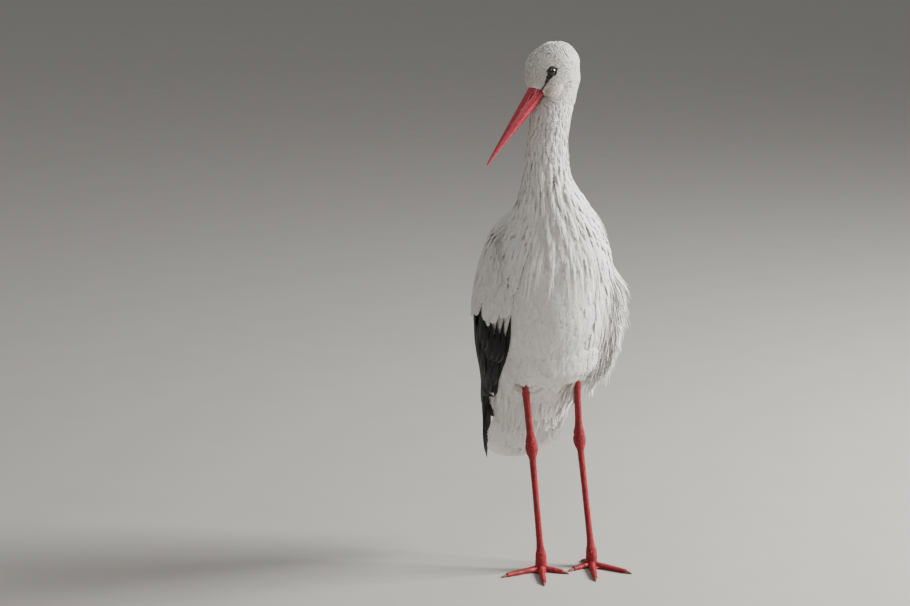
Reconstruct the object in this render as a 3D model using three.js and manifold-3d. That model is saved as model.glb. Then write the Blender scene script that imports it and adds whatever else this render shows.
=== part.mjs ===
// White stork, life size, standing still with its head turned to its right.
// Millimetres, +Z up. The bird faces -Y, its left side is +X and it stands on z = 0.

import * as THREE from 'three';
import { mergeVertices } from 'three/addons/utils/BufferGeometryUtils.js';
import Module from 'manifold-3d';

const wasm = await Module();
wasm.setup();

// ---------------------------------------------------------------- driving dimensions

const GAP = 0.3; // clearance between neighbouring pieces
const ROOM = 0.7; // how far a feather patch is widened to cut its neighbours clear
const BILL_LENGTH = 155; // feather edge to tip
const EYE_RADIUS = 8.6;
const TOE_HEIGHT = 9.5; // at the root of a toe
const CLAW_LENGTH = 11;
const FOOT_TOP = 24; // height of the top face of the foot joint

// Head: where the bill leaves the face, and how the head is turned.
const BILL_ROOT = new THREE.Vector3(-42, -85, 845);
const HEAD_YAW = THREE.MathUtils.degToRad(68); // to the bird's right
const HEAD_PITCH = THREE.MathUtils.degToRad(48); // bill down
const HEAD_ROLL = THREE.MathUtils.degToRad(13); // left cheek raised

// Body from the throat to the root of the tail. Each station holds the centre (x, y, z),
// the half-width, the depth to the breast side and the depth to the back.
const BODY = [
  [-12, -67, 882, 19, 15, 17],
  [-10, -64, 851, 37, 32, 33],
  [-17, -69, 808, 35, 35, 36],
  [-23, -73, 768, 33, 34, 35],
  [-25, -74, 732, 36, 36, 38],
  [-24, -72, 698, 40, 40, 44],
  [-19, -66, 665, 52, 50, 54],
  [-13, -58, 634, 66, 64, 62],
  [-9, -46, 598, 86, 82, 74],
  [-8, -32, 552, 99, 98, 85],
  [-8, -14, 495, 108, 105, 92],
  [-8, 6, 435, 108, 98, 90],
  [-7, 30, 376, 100, 74, 78],
  [-5, 57, 322, 82, 42, 60],
  [-3, 82, 280, 62, 25, 40],
  [-2, 100, 248, 48, 15, 24],
];

// Roof that the folded wings make over the rump and tail, one row for each body station
// from ROOF_START on, and past them to the wing tips.
const WING_ROOF = [
  [-6, 57, 322, 90, 60, 66],
  [-8, 80, 282, 80, 50, 54],
  [-9, 98, 250, 72, 40, 44],
  [-10, 117, 218, 65, 30, 36],
  [-11, 137, 186, 57, 24, 30],
  [-12, 158, 150, 48, 18, 25],
];
const ROOF_START = 13; // body station at which the roof's first row lies

const MATERIALS = {
  plumage: { color: 0xe9e5dc, roughness: 0.8, metalness: 0 },
  flight: { color: 0x1a181a, roughness: 0.5, metalness: 0 },
  bill: { color: 0xc8402f, roughness: 0.45, metalness: 0 },
  leg: { color: 0xb8322a, roughness: 0.6, metalness: 0 },
  eye: { color: 0x14100e, roughness: 0.1, metalness: 0 },
  claw: { color: 0x6e4038, roughness: 0.5, metalness: 0 },
};

// ---------------------------------------------------------------- small helpers

const UP = new THREE.Vector3(0, 0, 1);
const SIDE = new THREE.Vector3(1, 0, 0);
const lerp = THREE.MathUtils.lerp;
const clamp = THREE.MathUtils.clamp;
const smooth = (value, low, high) => THREE.MathUtils.smoothstep(value, low, high);
const point = (x, y, z) => new THREE.Vector3(x, y, z);

// Catmull-Rom reading of a list of stations at a fractional index.
function stationAt(stations, position) {
  const last = stations.length - 1;
  const at = clamp(position, 0, last);
  const i = Math.min(Math.floor(at), last - 1);
  const u = at - i;
  const row = (k) => stations[clamp(k, 0, last)];
  return row(i).map((_, n) => {
    const [a, b, c, d] = [row(i - 1)[n], row(i)[n], row(i + 1)[n], row(i + 2)[n]];
    const bend = 2 * a - 5 * b + 4 * c - d;
    const twist = 3 * b - 3 * c + d - a;
    return 0.5 * (2 * b + (c - a) * u + bend * u * u + twist * u * u * u);
  });
}

// Closed surface through rings of equal count, with a fan at each end.
function skinRings(rings) {
  const count = rings[0].length;
  const positions = [];
  const indices = [];
  rings.forEach((ring) => ring.forEach((p) => positions.push(p.x, p.y, p.z)));
  for (let r = 0; r < rings.length - 1; r += 1) {
    for (let c = 0; c < count; c += 1) {
      const a = r * count + c;
      const b = r * count + ((c + 1) % count);
      indices.push(a, b, b + count, a, b + count, a + count);
    }
  }
  [0, rings.length - 1].forEach((r) => {
    const middle = new THREE.Vector3();
    rings[r].forEach((p) => middle.addScaledVector(p, 1 / count));
    const pole = positions.length / 3;
    positions.push(middle.x, middle.y, middle.z);
    for (let c = 0; c < count; c += 1) {
      const a = r * count + c;
      const b = r * count + ((c + 1) % count);
      indices.push(...(r === 0 ? [b, a, pole] : [a, b, pole]));
    }
  });
  const geometry = new THREE.BufferGeometry();
  geometry.setAttribute('position', new THREE.Float32BufferAttribute(positions, 3));
  geometry.setIndex(indices);
  return facingOut(mergeVertices(geometry, 1e-3));
}

// Signed volume of a closed geometry.
function volumeOf(geometry) {
  const p = geometry.getAttribute('position');
  const index = geometry.getIndex();
  const corner = (k) => new THREE.Vector3().fromBufferAttribute(p, index.getX(k));
  let sum = 0;
  for (let k = 0; k < index.count; k += 3) {
    sum += corner(k).dot(corner(k + 1).cross(corner(k + 2))) / 6;
  }
  return sum;
}

function facingOut(geometry) {
  if (volumeOf(geometry) < 0) {
    geometry.setIndex([...geometry.getIndex().array].reverse());
  }
  return geometry;
}

function toSolid(geometry) {
  return new wasm.Manifold(new wasm.Mesh({
    numProp: 3,
    vertProperties: new Float32Array(geometry.getAttribute('position').array),
    triVerts: new Uint32Array(geometry.getIndex().array),
  }));
}

// Largest body of a solid, as a geometry. Cuts can leave slivers behind.
function toGeometry(solid) {
  if (solid.isEmpty()) {
    throw new Error('nothing is left of a piece');
  }
  const pieces = solid.decompose().sort((a, b) => b.volume() - a.volume());
  const mesh = pieces[0].getMesh();
  const geometry = new THREE.BufferGeometry();
  geometry.setAttribute('position', new THREE.Float32BufferAttribute(mesh.vertProperties, 3));
  geometry.setIndex([...mesh.triVerts]);
  return geometry;
}

// Union and difference of geometries.
function joined(...geometries) {
  return toGeometry(geometries.map(toSolid).reduce((sum, next) => sum.add(next)));
}

function without(geometry, ...cutters) {
  const rest = cutters.map(toSolid).reduce((left, cutter) => left.subtract(cutter), toSolid(geometry));
  return toGeometry(rest);
}

function inside(geometry, limit) {
  return toGeometry(toSolid(geometry).intersect(toSolid(limit)));
}

// Box by two corners, as a cutter.
function block(low, high) {
  const size = high.clone().sub(low);
  const box = new THREE.BoxGeometry(size.x, size.y, size.z);
  box.translate((low.x + high.x) / 2, (low.y + high.y) / 2, (low.z + high.z) / 2);
  box.deleteAttribute('normal');
  box.deleteAttribute('uv');
  return mergeVertices(box, 1e-3);
}

const FAR = 1000; // beyond the bird in any direction
const slabFrom = (low, high) => block(point(-FAR, -FAR, low), point(FAR, FAR, high));

// Round limb: rings along a line of stations [x, y, z, half-width, half-depth].
// The first ring's width runs along `wide`, and a power above 2 makes the section squarer.
function limb(stations, { around = 10, wide = SIDE, power = 2, grow = 0 } = {}) {
  const rings = stations.map(([x, y, z, a, b], i) => {
    const before = stations[Math.max(i - 1, 0)];
    const after = stations[Math.min(i + 1, stations.length - 1)];
    const along = point(after[0] - before[0], after[1] - before[1], after[2] - before[2]).normalize();
    const width = wide.clone().addScaledVector(along, -wide.dot(along)).normalize();
    const depth = new THREE.Vector3().crossVectors(along, width);
    return Array.from({ length: around }, (_, k) => {
      const turn = (2 * Math.PI * (k + 0.5)) / around;
      const c = Math.sign(Math.cos(turn)) * Math.abs(Math.cos(turn)) ** (2 / power);
      const s = Math.sign(Math.sin(turn)) * Math.abs(Math.sin(turn)) ** (2 / power);
      return point(x, y, z).addScaledVector(width, (a + grow) * c).addScaledVector(depth, (b + grow) * s);
    });
  });
  return skinRings(rings);
}

// ---------------------------------------------------------------- body surface

// Centre, sideways and backward directions, and the three radii of the body at station t.
// With `roof` the lower stations follow the folded wings instead of the rump.
function sectionAt(t, roof) {
  const read = (position) => {
    const body = stationAt(BODY, position);
    if (!roof || position < ROOF_START - 1) {
      return body;
    }
    const cover = stationAt(WING_ROOF, position - ROOF_START);
    const share = smooth(position, ROOF_START - 1, ROOF_START);
    return body.map((value, n) => lerp(value, cover[n], share));
  };
  const [x, y, z, half, front, back] = read(t);
  const above = read(t - 0.05);
  const below = read(t + 0.05);
  const along = point(below[0] - above[0], below[1] - above[1], below[2] - above[2]).normalize();
  const side = SIDE.clone().addScaledVector(along, -along.x).normalize();
  const rear = new THREE.Vector3().crossVectors(side, along);
  return { centre: point(x, y, z), side, rear, half, front, back };
}

// Point on the body at station t. The angle is 0 along the back, 90 degrees on the bird's
// left and 180 along the breast. The height stands out from the surface.
function bodyPoint(t, angle, height = 0, roof = false) {
  const { centre, side, rear, half, front, back } = sectionAt(t, roof);
  const depth = Math.cos(angle) > 0 ? back : front;
  const out = point(Math.sin(angle) / half, Math.cos(angle) / depth, 0).normalize();
  return centre
    .addScaledVector(side, half * Math.sin(angle) + height * out.x)
    .addScaledVector(rear, depth * Math.cos(angle) + height * out.y);
}

const BODY_AROUND = 20;
const BODY_ROWS = 23;

function bodyGeometry(from, to, rows, grow = 0) {
  const rings = Array.from({ length: rows }, (_, r) => {
    const t = lerp(from, to, r / (rows - 1));
    const angle = (k) => (2 * Math.PI * k) / BODY_AROUND;
    return Array.from({ length: BODY_AROUND }, (_, k) => bodyPoint(t, angle(k), grow));
  });
  return skinRings(rings);
}

// ---------------------------------------------------------------- head and bill

// Directions of the head: along the bill, to the head's left and to its crown.
const facing = point(-Math.sin(HEAD_YAW), -Math.cos(HEAD_YAW), 0);
const turned = (a, b, angle) => a.clone().multiplyScalar(Math.cos(angle)).addScaledVector(b, Math.sin(angle));
const billWay = turned(facing, UP, -HEAD_PITCH);
const levelLeft = point(-facing.y, facing.x, 0);
const levelCrown = new THREE.Vector3().crossVectors(billWay, levelLeft);
const headLeft = turned(levelLeft, levelCrown, HEAD_ROLL);
const crown = turned(levelCrown, levelLeft, -HEAD_ROLL);

function headPoint(forward, left, up) {
  return BILL_ROOT.clone()
    .addScaledVector(billWay, forward)
    .addScaledVector(headLeft, left)
    .addScaledVector(crown, up);
}

// Head stations from the chin and forehead feathers back to the nape:
// forward of the bill root, half-width, height of the crown and depth to the throat.
const HEAD = [
  [14, 7, 14, 11],
  [7, 14, 22, 16],
  [-5, 23, 32, 21],
  [-18, 31, 40, 26],
  [-33, 37, 43, 31],
  [-48, 39, 41, 35],
  [-63, 37, 36.5, 35],
  [-77, 27, 28, 28.5],
  [-86, 10, 11, 11.5],
];
const HEAD_AROUND = 16;

function headGeometry() {
  const rings = HEAD.map(([forward, half, top, bottom]) => (
    Array.from({ length: HEAD_AROUND }, (_, k) => {
      const turn = (2 * Math.PI * k) / HEAD_AROUND;
      const up = Math.sin(turn) > 0 ? top : bottom;
      return headPoint(forward, half * Math.cos(turn), up * Math.sin(turn));
    })
  ));
  return skinRings(rings);
}

// Outline of the bill at a share of its length: half-width at the cutting edge, height of
// the ridge and depth of the lower edge.
function billSection(share) {
  const taper = 1 - share;
  return {
    half: 1.2 + 12 * taper ** 0.85,
    ridge: 1.6 + 15 * taper ** 0.9,
    keel: 1.2 + 14 * taper ** 1.1,
  };
}

const BILL_ROOT_DEPTH = 10; // how far the bill reaches back into the face
const BILL_ROWS = 13;
// Half a section of the bill, across and up, as shares of its half-width and its height.
const BILL_PROFILE = [
  [-1, 0], [-0.94, 0.36], [-0.66, 0.76], [-0.3, 0.96], [0, 1],
  [0.3, 0.96], [0.66, 0.76], [0.94, 0.36], [1, 0],
];

// Upper (+1) or lower (-1) half of the bill. Its flat side lies on the cutting edge.
function billHalf(part, grow = 0) {
  const rings = Array.from({ length: BILL_ROWS }, (_, r) => {
    const forward = lerp(-BILL_ROOT_DEPTH - grow, BILL_LENGTH, r / (BILL_ROWS - 1));
    const { half, ridge, keel } = billSection(clamp(forward / BILL_LENGTH, 0, 1));
    const reach = part > 0 ? ridge : keel;
    const low = GAP / 2 - grow;
    const high = reach + grow;
    return BILL_PROFILE.map(([across, up]) => (
      headPoint(forward, across * (half + grow), part * lerp(low, high, up))
    ));
  });
  return skinRings(rings);
}

const EYE_BACK = -26.5;
const EYE_OUT = 26.4;
const EYE_UP = 10.5;

function eyeGeometry(side, radius) {
  const ball = new THREE.SphereGeometry(radius, 12, 8);
  ball.deleteAttribute('normal');
  ball.deleteAttribute('uv');
  const centre = headPoint(EYE_BACK, side * EYE_OUT, EYE_UP);
  ball.translate(centre.x, centre.y, centre.z);
  return mergeVertices(ball, 1e-3);
}

// ---------------------------------------------------------------- wings and tail

// -1 at the first edge of a patch, +1 at the last and 0 between them.
const edgeSign = (share) => Number(share === 1) - Number(share === 0);

// Feather patch lying on the body: `start` and `end` give the station of its two ends and
// `back` and `front` the angles of its edges, as shares across or down the patch. `swell`
// is its height over the body, and `grow` widens it on every side.
function featherPatch({ start, end, back, front, swell, under, rows, across, side }, grow = 0) {
  const endGrow = grow / STATION_LENGTH;
  const sideGrow = grow / WING_RADIUS;
  const rings = Array.from({ length: rows }, (_, r) => {
    const down = r / (rows - 1);
    const place = (share, height) => {
      const t = lerp(start(share), end(share), down) + endGrow * edgeSign(down);
      const angle = lerp(back(down), front(down), share) + sideGrow * edgeSign(share);
      return bodyPoint(t, side * angle, height, true);
    };
    const outer = Array.from({ length: across }, (_, k) => {
      const share = k / (across - 1);
      return place(share, swell(down, share) + grow);
    });
    const inner = Array.from({ length: across }, (_, k) => {
      const share = (across - 1 - k) / (across - 1);
      return place(share, under(down, share) - grow);
    });
    return [...outer, ...inner];
  });
  return skinRings(rings);
}

const degrees = THREE.MathUtils.degToRad;
const rounded = (share) => Math.sqrt(Math.max(0, 1 - (2 * share - 1) ** 2));
const lobes = (share, count, height) => height * Math.abs(Math.sin(Math.PI * count * share)) ** 0.7;
const STATION_LENGTH = 55; // about the distance between body stations, for gaps
const WING_RADIUS = 90; // about the distance of a wing from the body's axis, for gaps
const TUCK = 0.3; // stations by which one patch starts under the edge of the next

// Station at which the white coverts end and the black feathers begin, from the back
// (share 0) to the leading edge (share 1), with a lobe for each covert tip.
const covertEdge = (share) => lerp(11.8, 9.95, share ** 0.8) + lobes(share, 5, 0.3);

// The white part of a folded wing. The left one lies flatter than the right one.
const coverHeight = (side) => (side > 0 ? 6 : 13);
const covertPatch = (side) => ({
  side,
  start: (share) => lerp(7.3, 7.5, share) - 0.6 * rounded(share),
  end: covertEdge,
  back: (down) => degrees(lerp(42, 1.5, smooth(down, 0, 0.75))),
  front: (down) => degrees(lerp(92, 119, smooth(down, 0, 0.8))),
  swell: (down, share) => 2.4 + coverHeight(side) * rounded(share) ** 0.7 * smooth(down, -0.05, 0.3),
  under: () => -5,
  rows: 9,
  across: 10,
});

const SPLIT = 0.72; // share of the covert edge behind which the secondaries lie
const secondaryPatch = (side) => ({
  side,
  start: (share) => covertEdge(share * SPLIT) - TUCK,
  end: (share) => lerp(16.2, 15.9, share) + lobes(share, 5, 0.35),
  back: () => degrees(1.5),
  front: (down) => degrees(lerp(88, 58, smooth(down, 0, 1))),
  swell: (down, share) => lerp(10, 4, down) * (0.35 + 0.65 * rounded(share)) + 1,
  under: (down) => lerp(-5, -1, smooth(down, 0.3, 0.7)),
  rows: 8,
  across: 10,
});

// Long wing-tip feathers. The left ones are tucked in towards the back.
const TIP = {
  left: { end: 16.9, front: 68, tucked: 0.6 },
  right: { end: 17.5, front: 78, tucked: 0.9 },
};
const tipOf = (side) => (side > 0 ? TIP.left : TIP.right);
const primaryPatch = (side) => ({
  side,
  start: (share) => covertEdge(lerp(SPLIT, 1, share)) - TUCK,
  end: (share) => tipOf(side).end + 0.5 * rounded(share),
  back: (down) => degrees(lerp(80, 54, smooth(down, 0, 1))),
  front: (down) => degrees(lerp(119, tipOf(side).front, smooth(down, 0, tipOf(side).tucked))),
  swell: (down, share) => lerp(7, 4, down) * (0.4 + 0.6 * rounded(share)) + 1,
  under: (down) => lerp(-5, -2, smooth(down, 0.3, 0.7)),
  rows: 10,
  across: 6,
});

// Loose flank feathers that stand out on the bird's left side, ending in points.
const flankPatch = () => ({
  side: 1,
  start: () => 9,
  end: (share) => 12.1 - 0.5 * Math.abs(share - 0.2) + lobes(share, 4, 0.45),
  back: (down) => degrees(lerp(88, 78, down)),
  front: (down) => degrees(lerp(122, 140, down)),
  swell: (down, share) => 10 + (14 + 24 * down) * rounded(share) * smooth(down, 0, 0.2),
  under: (down) => lerp(0, 12, down),
  rows: 7,
  across: 13,
});

// Tail fan: half-width and half-thickness from its root to the rounded feather tips.
const TAIL_ROOT = point(-2, 84, 282);
const TAIL_LENGTH = 144;
const TAIL_WAY = point(-0.07, 0.5, -0.863);
const TAIL_FEATHERS = 6;

function tailGeometry(grow = 0) {
  const flat = new THREE.Vector3().crossVectors(SIDE, TAIL_WAY);
  const across = 13;
  const rows = 7;
  const rings = Array.from({ length: rows }, (_, r) => {
    const down = r / (rows - 1);
    const half = lerp(50, 59, smooth(down, 0, 0.9)) + grow;
    const thick = lerp(15, 2.5, down) + grow;
    const place = (share, face) => {
      const x = 2 * share - 1;
      const tip = 0.95 - 0.3 * x * x + lobes(share, TAIL_FEATHERS, 0.05);
      const reach = TAIL_LENGTH * down * lerp(1, tip, down);
      return TAIL_ROOT.clone()
        .addScaledVector(TAIL_WAY, reach)
        .addScaledVector(SIDE, half * x)
        .addScaledVector(flat, face * (0.6 + thick * rounded(share) * 0.9) - 10 * x * x * down);
    };
    const top = Array.from({ length: across }, (_, k) => place(k / (across - 1), 1));
    const bottom = Array.from({ length: across }, (_, k) => place(1 - k / (across - 1), -1));
    return [...top, ...bottom];
  });
  return skinRings(rings);
}

// ---------------------------------------------------------------- legs and feet

// Joints of each leg, and the direction of its toes in degrees from straight ahead,
// with positive turns to the bird's left.
const LEGS = {
  right: {
    hip: [-44, -30, 392],
    knee: [-48.5, -30, 345],
    ankle: [-27, 2, 227],
    foot: [-7.3, 6, FOOT_TOP],
    toes: { outer: -72, middle: -12, inner: 51, hind: 165 },
  },
  left: {
    hip: [40, -16, 398],
    knee: [46.6, -15, 357],
    ankle: [70, 43, 226],
    foot: [84, 8, FOOT_TOP],
    toes: { outer: 42, middle: -12, inner: -66, hind: -168 },
  },
};
const TOE_LENGTHS = { outer: 70, middle: 76, inner: 41, hind: 26 };
const TOE_START = 7; // how far from the middle of the foot a toe begins
const OUTER_WEB = 30; // how far the small webs reach along the toes
const INNER_WEB = 22;

function between(from, to, share) {
  return from.map((value, n) => lerp(value, to[n], share));
}

// Bare lower part of the shank, down to the swollen ankle.
function tibiaGeometry({ knee, ankle }, grow = 0) {
  const radii = [
    [-0.42, 7.5, 8], [0, 6.2, 7], [0.25, 5.4, 6.2], [0.6, 5.2, 6],
    [0.82, 5.8, 7], [0.93, 8.5, 10], [0.985, 9.6, 11],
  ];
  return limb(radii.map(([share, half, deep]) => [...between(knee, ankle, share), half, deep]), { grow });
}

// Long shank bone from the ankle knob to the top face of the foot.
function tarsusGeometry({ ankle, foot }, grow = 0) {
  const radii = [
    [0, 9.8, 11.2], [0.035, 10.4, 11.6], [0.075, 9, 10], [0.11, 6.6, 7.4], [0.16, 5.2, 6],
    [0.5, 4.7, 5.6], [0.82, 5, 5.8], [0.92, 6.2, 6.4], [0.965, 8.4, 8], [1.03, 9.6, 9],
  ];
  const stations = radii.map(([share, half, deep]) => [...between(ankle, foot, share), half, deep]);
  const shape = limb(stations, { grow });
  return inside(shape, slabFrom(FOOT_TOP, FAR));
}

// Feathered thigh that runs out of the belly to the bare shank.
function thighGeometry({ hip, knee }) {
  const rows = [[0, 40, 44], [0.45, 36, 40], [0.8, 27, 30], [1, 18, 20], [1.12, 11, 12], [1.2, 8.4, 9]];
  const stations = rows.map(([share, half, deep]) => [...between(hip, knee, share), half, deep]);
  return limb(stations, { around: 14 });
}

// Point beside a centre line at a height over the floor.
const beside = (centre, wide, out, height) => point(centre.x + wide.x * out, centre.y + wide.y * out, height);
const TOE_PROFILE = [[-0.75, 0], [-1, 0.35], [-0.5, 1], [0.5, 1], [1, 0.35], [0.75, 0]];
const CLAW_PROFILE = [[-0.8, 0], [-1, 0.45], [-0.5, 1], [0.5, 1], [1, 0.45], [0.8, 0]];

// One toe along its line on the floor, flat beneath, swollen at each pad.
function toeGeometry(root, turn, length) {
  const way = point(Math.sin(degrees(turn)), -Math.cos(degrees(turn)), 0);
  const wide = point(-way.y, way.x, 0);
  const rows = [0, 0.2, 0.4, 0.6, 0.8, 1];
  const rings = rows.map((share) => {
    const pad = 1 + 0.08 * Math.cos(2 * Math.PI * share * 2.5);
    const half = lerp(6.2, 3.9, share) * pad * (share === 1 ? 0.8 : 1);
    const high = lerp(TOE_HEIGHT, 6.2, share) * (0.96 + 0.04 * pad);
    const centre = root.clone().addScaledVector(way, TOE_START + (length - TOE_START) * share);
    return TOE_PROFILE.map(([x, z]) => beside(centre, wide, half * x, high * z));
  });
  return skinRings(rings);
}

// Blunt flat claw past the end of a toe.
function clawGeometry(root, turn, length) {
  const way = point(Math.sin(degrees(turn)), -Math.cos(degrees(turn)), 0);
  const wide = point(-way.y, way.x, 0);
  const rows = [[0, 3, 5], [0.35, 2.9, 4.6], [0.7, 2.3, 3.4], [1, 1, 1.4]];
  const rings = rows.map(([share, half, high]) => {
    const centre = root.clone().addScaledVector(way, length + GAP + CLAW_LENGTH * share);
    return CLAW_PROFILE.map(([x, z]) => beside(centre, wide, half * x, high * z));
  });
  return skinRings(rings);
}

// Small web between the roots of two toes.
function webGeometry(root, turnA, turnB, reach) {
  const tip = (turn) => point(
    root.x + Math.sin(degrees(turn)) * reach,
    root.y - Math.cos(degrees(turn)) * reach,
    0,
  );
  const [a, b] = [tip(turnA), tip(turnB)];
  const notch = root.clone().setZ(0).lerp(a.clone().lerp(b, 0.5), 0.78);
  const base = root.clone().setZ(0);
  const ring = (height) => [base, a, notch, b].map((p) => p.clone().setZ(height));
  return skinRings([ring(1), ring(5)]);
}

function footGeometry({ foot, toes }) {
  const root = point(foot[0], foot[1], 0);
  const hub = limb([
    [foot[0], foot[1], FOOT_TOP - GAP, 9.6, 9],
    [foot[0], foot[1], FOOT_TOP * 0.72, 10.4, 10],
    [foot[0], foot[1], FOOT_TOP * 0.42, 10.2, 10.4],
    [foot[0], foot[1], FOOT_TOP * 0.2, 9.4, 9.8],
    [foot[0], foot[1], 0, 7.5, 8],
  ]);
  const toeShapes = Object.entries(toes).map(([name, turn]) => toeGeometry(root, turn, TOE_LENGTHS[name]));
  const outerWeb = webGeometry(root, toes.outer, toes.middle, OUTER_WEB);
  const innerWeb = webGeometry(root, toes.middle, toes.inner, INNER_WEB);
  return joined(hub, ...toeShapes, outerWeb, innerWeb);
}

// ---------------------------------------------------------------- assembly

const stork = new THREE.Group();

function addPart(name, geometry, look) {
  const clean = geometry.clone();
  clean.computeVertexNormals();
  const mesh = new THREE.Mesh(clean, new THREE.MeshStandardMaterial(look));
  mesh.name = name;
  stork.add(mesh);
}

// Neck, trunk and head are one form parted by thin level or tilted cuts.
const HEAD_CUT = 812; // height of the cut between head and neck
const NECK_CUT = 700; // height of the cut between the two lengths of neck
const TRUNK_CUT = 632; // height of the cut between neck and trunk

const NECK_INTO_HEAD = 2.4; // body station to which the head form reaches down the neck
const NECK_ROWS = 6;
const headForm = joined(headGeometry(), bodyGeometry(0, NECK_INTO_HEAD, NECK_ROWS));
const bodyForm = bodyGeometry(0, 15, BODY_ROWS);
const bodyGrown = bodyGeometry(0, 15, BODY_ROWS, GAP);
const tailForm = tailGeometry();
const tailGrown = tailGeometry(GAP);

const upperBill = billHalf(1);
const lowerBill = billHalf(-1);
const billRoom = [billHalf(1, GAP), billHalf(-1, GAP)];
const eyeRoom = [eyeGeometry(1, EYE_RADIUS + GAP), eyeGeometry(-1, EYE_RADIUS + GAP)];

const headAbove = inside(headForm, slabFrom(HEAD_CUT, FAR));
addPart('head', without(headAbove, ...billRoom, ...eyeRoom), MATERIALS.plumage);
addPart('bill_upper', upperBill, MATERIALS.bill);
addPart('bill_lower', lowerBill, MATERIALS.bill);
addPart('eye_left', eyeGeometry(1, EYE_RADIUS), MATERIALS.eye);
addPart('eye_right', eyeGeometry(-1, EYE_RADIUS), MATERIALS.eye);
addPart('neck_upper', inside(bodyForm, slabFrom(NECK_CUT, HEAD_CUT - GAP)), MATERIALS.plumage);
addPart('neck_lower', inside(bodyForm, slabFrom(TRUNK_CUT, NECK_CUT - GAP)), MATERIALS.plumage);

const tibiaRoom = Object.values(LEGS).map((leg) => tibiaGeometry(leg, GAP));
const trunkForm = inside(bodyForm, slabFrom(0, TRUNK_CUT - GAP));
addPart('trunk', without(trunkForm, ...tibiaRoom), MATERIALS.plumage);
addPart('tail', without(tailForm, bodyGrown), MATERIALS.plumage);

['left', 'right'].forEach((name) => {
  const side = name === 'left' ? 1 : -1;
  const leg = LEGS[name];
  const legRoom = tibiaGeometry(leg, GAP);
  const covert = covertPatch(side);
  const secondary = secondaryPatch(side);
  const covertRoom = featherPatch(covert, ROOM);
  const secondaryRoom = featherPatch(secondary, ROOM);
  const secondaries = without(featherPatch(secondary), bodyGrown, tailGrown, covertRoom);
  const wingRoom = [covertRoom, secondaryRoom, secondaries];
  const primaries = without(featherPatch(primaryPatch(side)), bodyGrown, tailGrown, ...wingRoom);
  addPart(`wing_${name}`, without(featherPatch(covert), bodyGrown), MATERIALS.plumage);
  addPart(`secondaries_${name}`, secondaries, MATERIALS.flight);
  addPart(`primaries_${name}`, primaries, MATERIALS.flight);
  addPart(`thigh_${name}`, without(thighGeometry(leg), bodyGrown, legRoom), MATERIALS.plumage);
  addPart(`tibia_${name}`, without(tibiaGeometry(leg), tarsusGeometry(leg, GAP)), MATERIALS.leg);
  addPart(`tarsus_${name}`, tarsusGeometry(leg), MATERIALS.leg);
  addPart(`foot_${name}`, footGeometry(leg), MATERIALS.leg);
  Object.entries(leg.toes).forEach(([toe, turn]) => {
    const root = point(leg.foot[0], leg.foot[1], 0);
    addPart(`claw_${name}_${toe}`, clawGeometry(root, turn, TOE_LENGTHS[toe]), MATERIALS.claw);
  });
});
const leftWing = [covertPatch(1), secondaryPatch(1), primaryPatch(1)];
const leftWingRoom = leftWing.map((patch) => featherPatch(patch, ROOM));
addPart('flank_left', without(featherPatch(flankPatch()), bodyGrown, ...leftWingRoom), MATERIALS.plumage);

// The origin is under the middle of the bird's box, on the floor.
const box = new THREE.Box3().setFromObject(stork);
stork.position.set(-(box.min.x + box.max.x) / 2, -(box.min.y + box.max.y) / 2, -box.min.z);

export default stork;
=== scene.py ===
import math

import bpy
import numpy as np
from bpy.props import FloatProperty, FloatVectorProperty, IntProperty, PointerProperty
from mathutils import Matrix, Vector
from mathutils.bvhtree import BVHTree


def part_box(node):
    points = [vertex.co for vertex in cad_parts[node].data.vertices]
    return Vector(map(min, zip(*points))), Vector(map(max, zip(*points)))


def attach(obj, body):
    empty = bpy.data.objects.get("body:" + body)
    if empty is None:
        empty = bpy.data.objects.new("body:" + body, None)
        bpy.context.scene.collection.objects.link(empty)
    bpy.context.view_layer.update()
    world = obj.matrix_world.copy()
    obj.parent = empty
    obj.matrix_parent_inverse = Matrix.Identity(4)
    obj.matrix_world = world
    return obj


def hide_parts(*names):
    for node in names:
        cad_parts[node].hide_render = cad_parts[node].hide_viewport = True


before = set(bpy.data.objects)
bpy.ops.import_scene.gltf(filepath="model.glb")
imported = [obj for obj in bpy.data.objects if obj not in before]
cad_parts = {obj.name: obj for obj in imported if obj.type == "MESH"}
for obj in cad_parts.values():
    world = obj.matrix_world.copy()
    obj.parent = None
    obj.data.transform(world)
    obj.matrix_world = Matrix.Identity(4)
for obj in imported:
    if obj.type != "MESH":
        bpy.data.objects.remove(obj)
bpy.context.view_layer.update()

bl_info = {
    "name": "White Stork",
    "version": (1, 0, 0),
    "blender": (4, 5, 0),
    "location": "3D View > Sidebar > Stork",
    "description": "Builds a life-size standing white stork: skin, feathers, bill, eyes and legs",
    "category": "Object",
}


# ---- sizes shared with the frame
# Lengths here are millimetres in the bird's own axes: -Y is ahead, +X is its left.

MM = 0.001
BILL_LENGTH = 155.0
BILL_ROOT = np.array([-42.0, -85.0, 845.0])
HEAD_YAW, HEAD_PITCH, HEAD_ROLL = (math.radians(a) for a in (68.0, 48.0, 13.0))
EYE_RADIUS = 8.6
EYE_AT = (-26.5, 26.4, 10.5)  # forward of the bill root, out to the side, up to the crown
FOOT_TOP = 24.0

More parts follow.
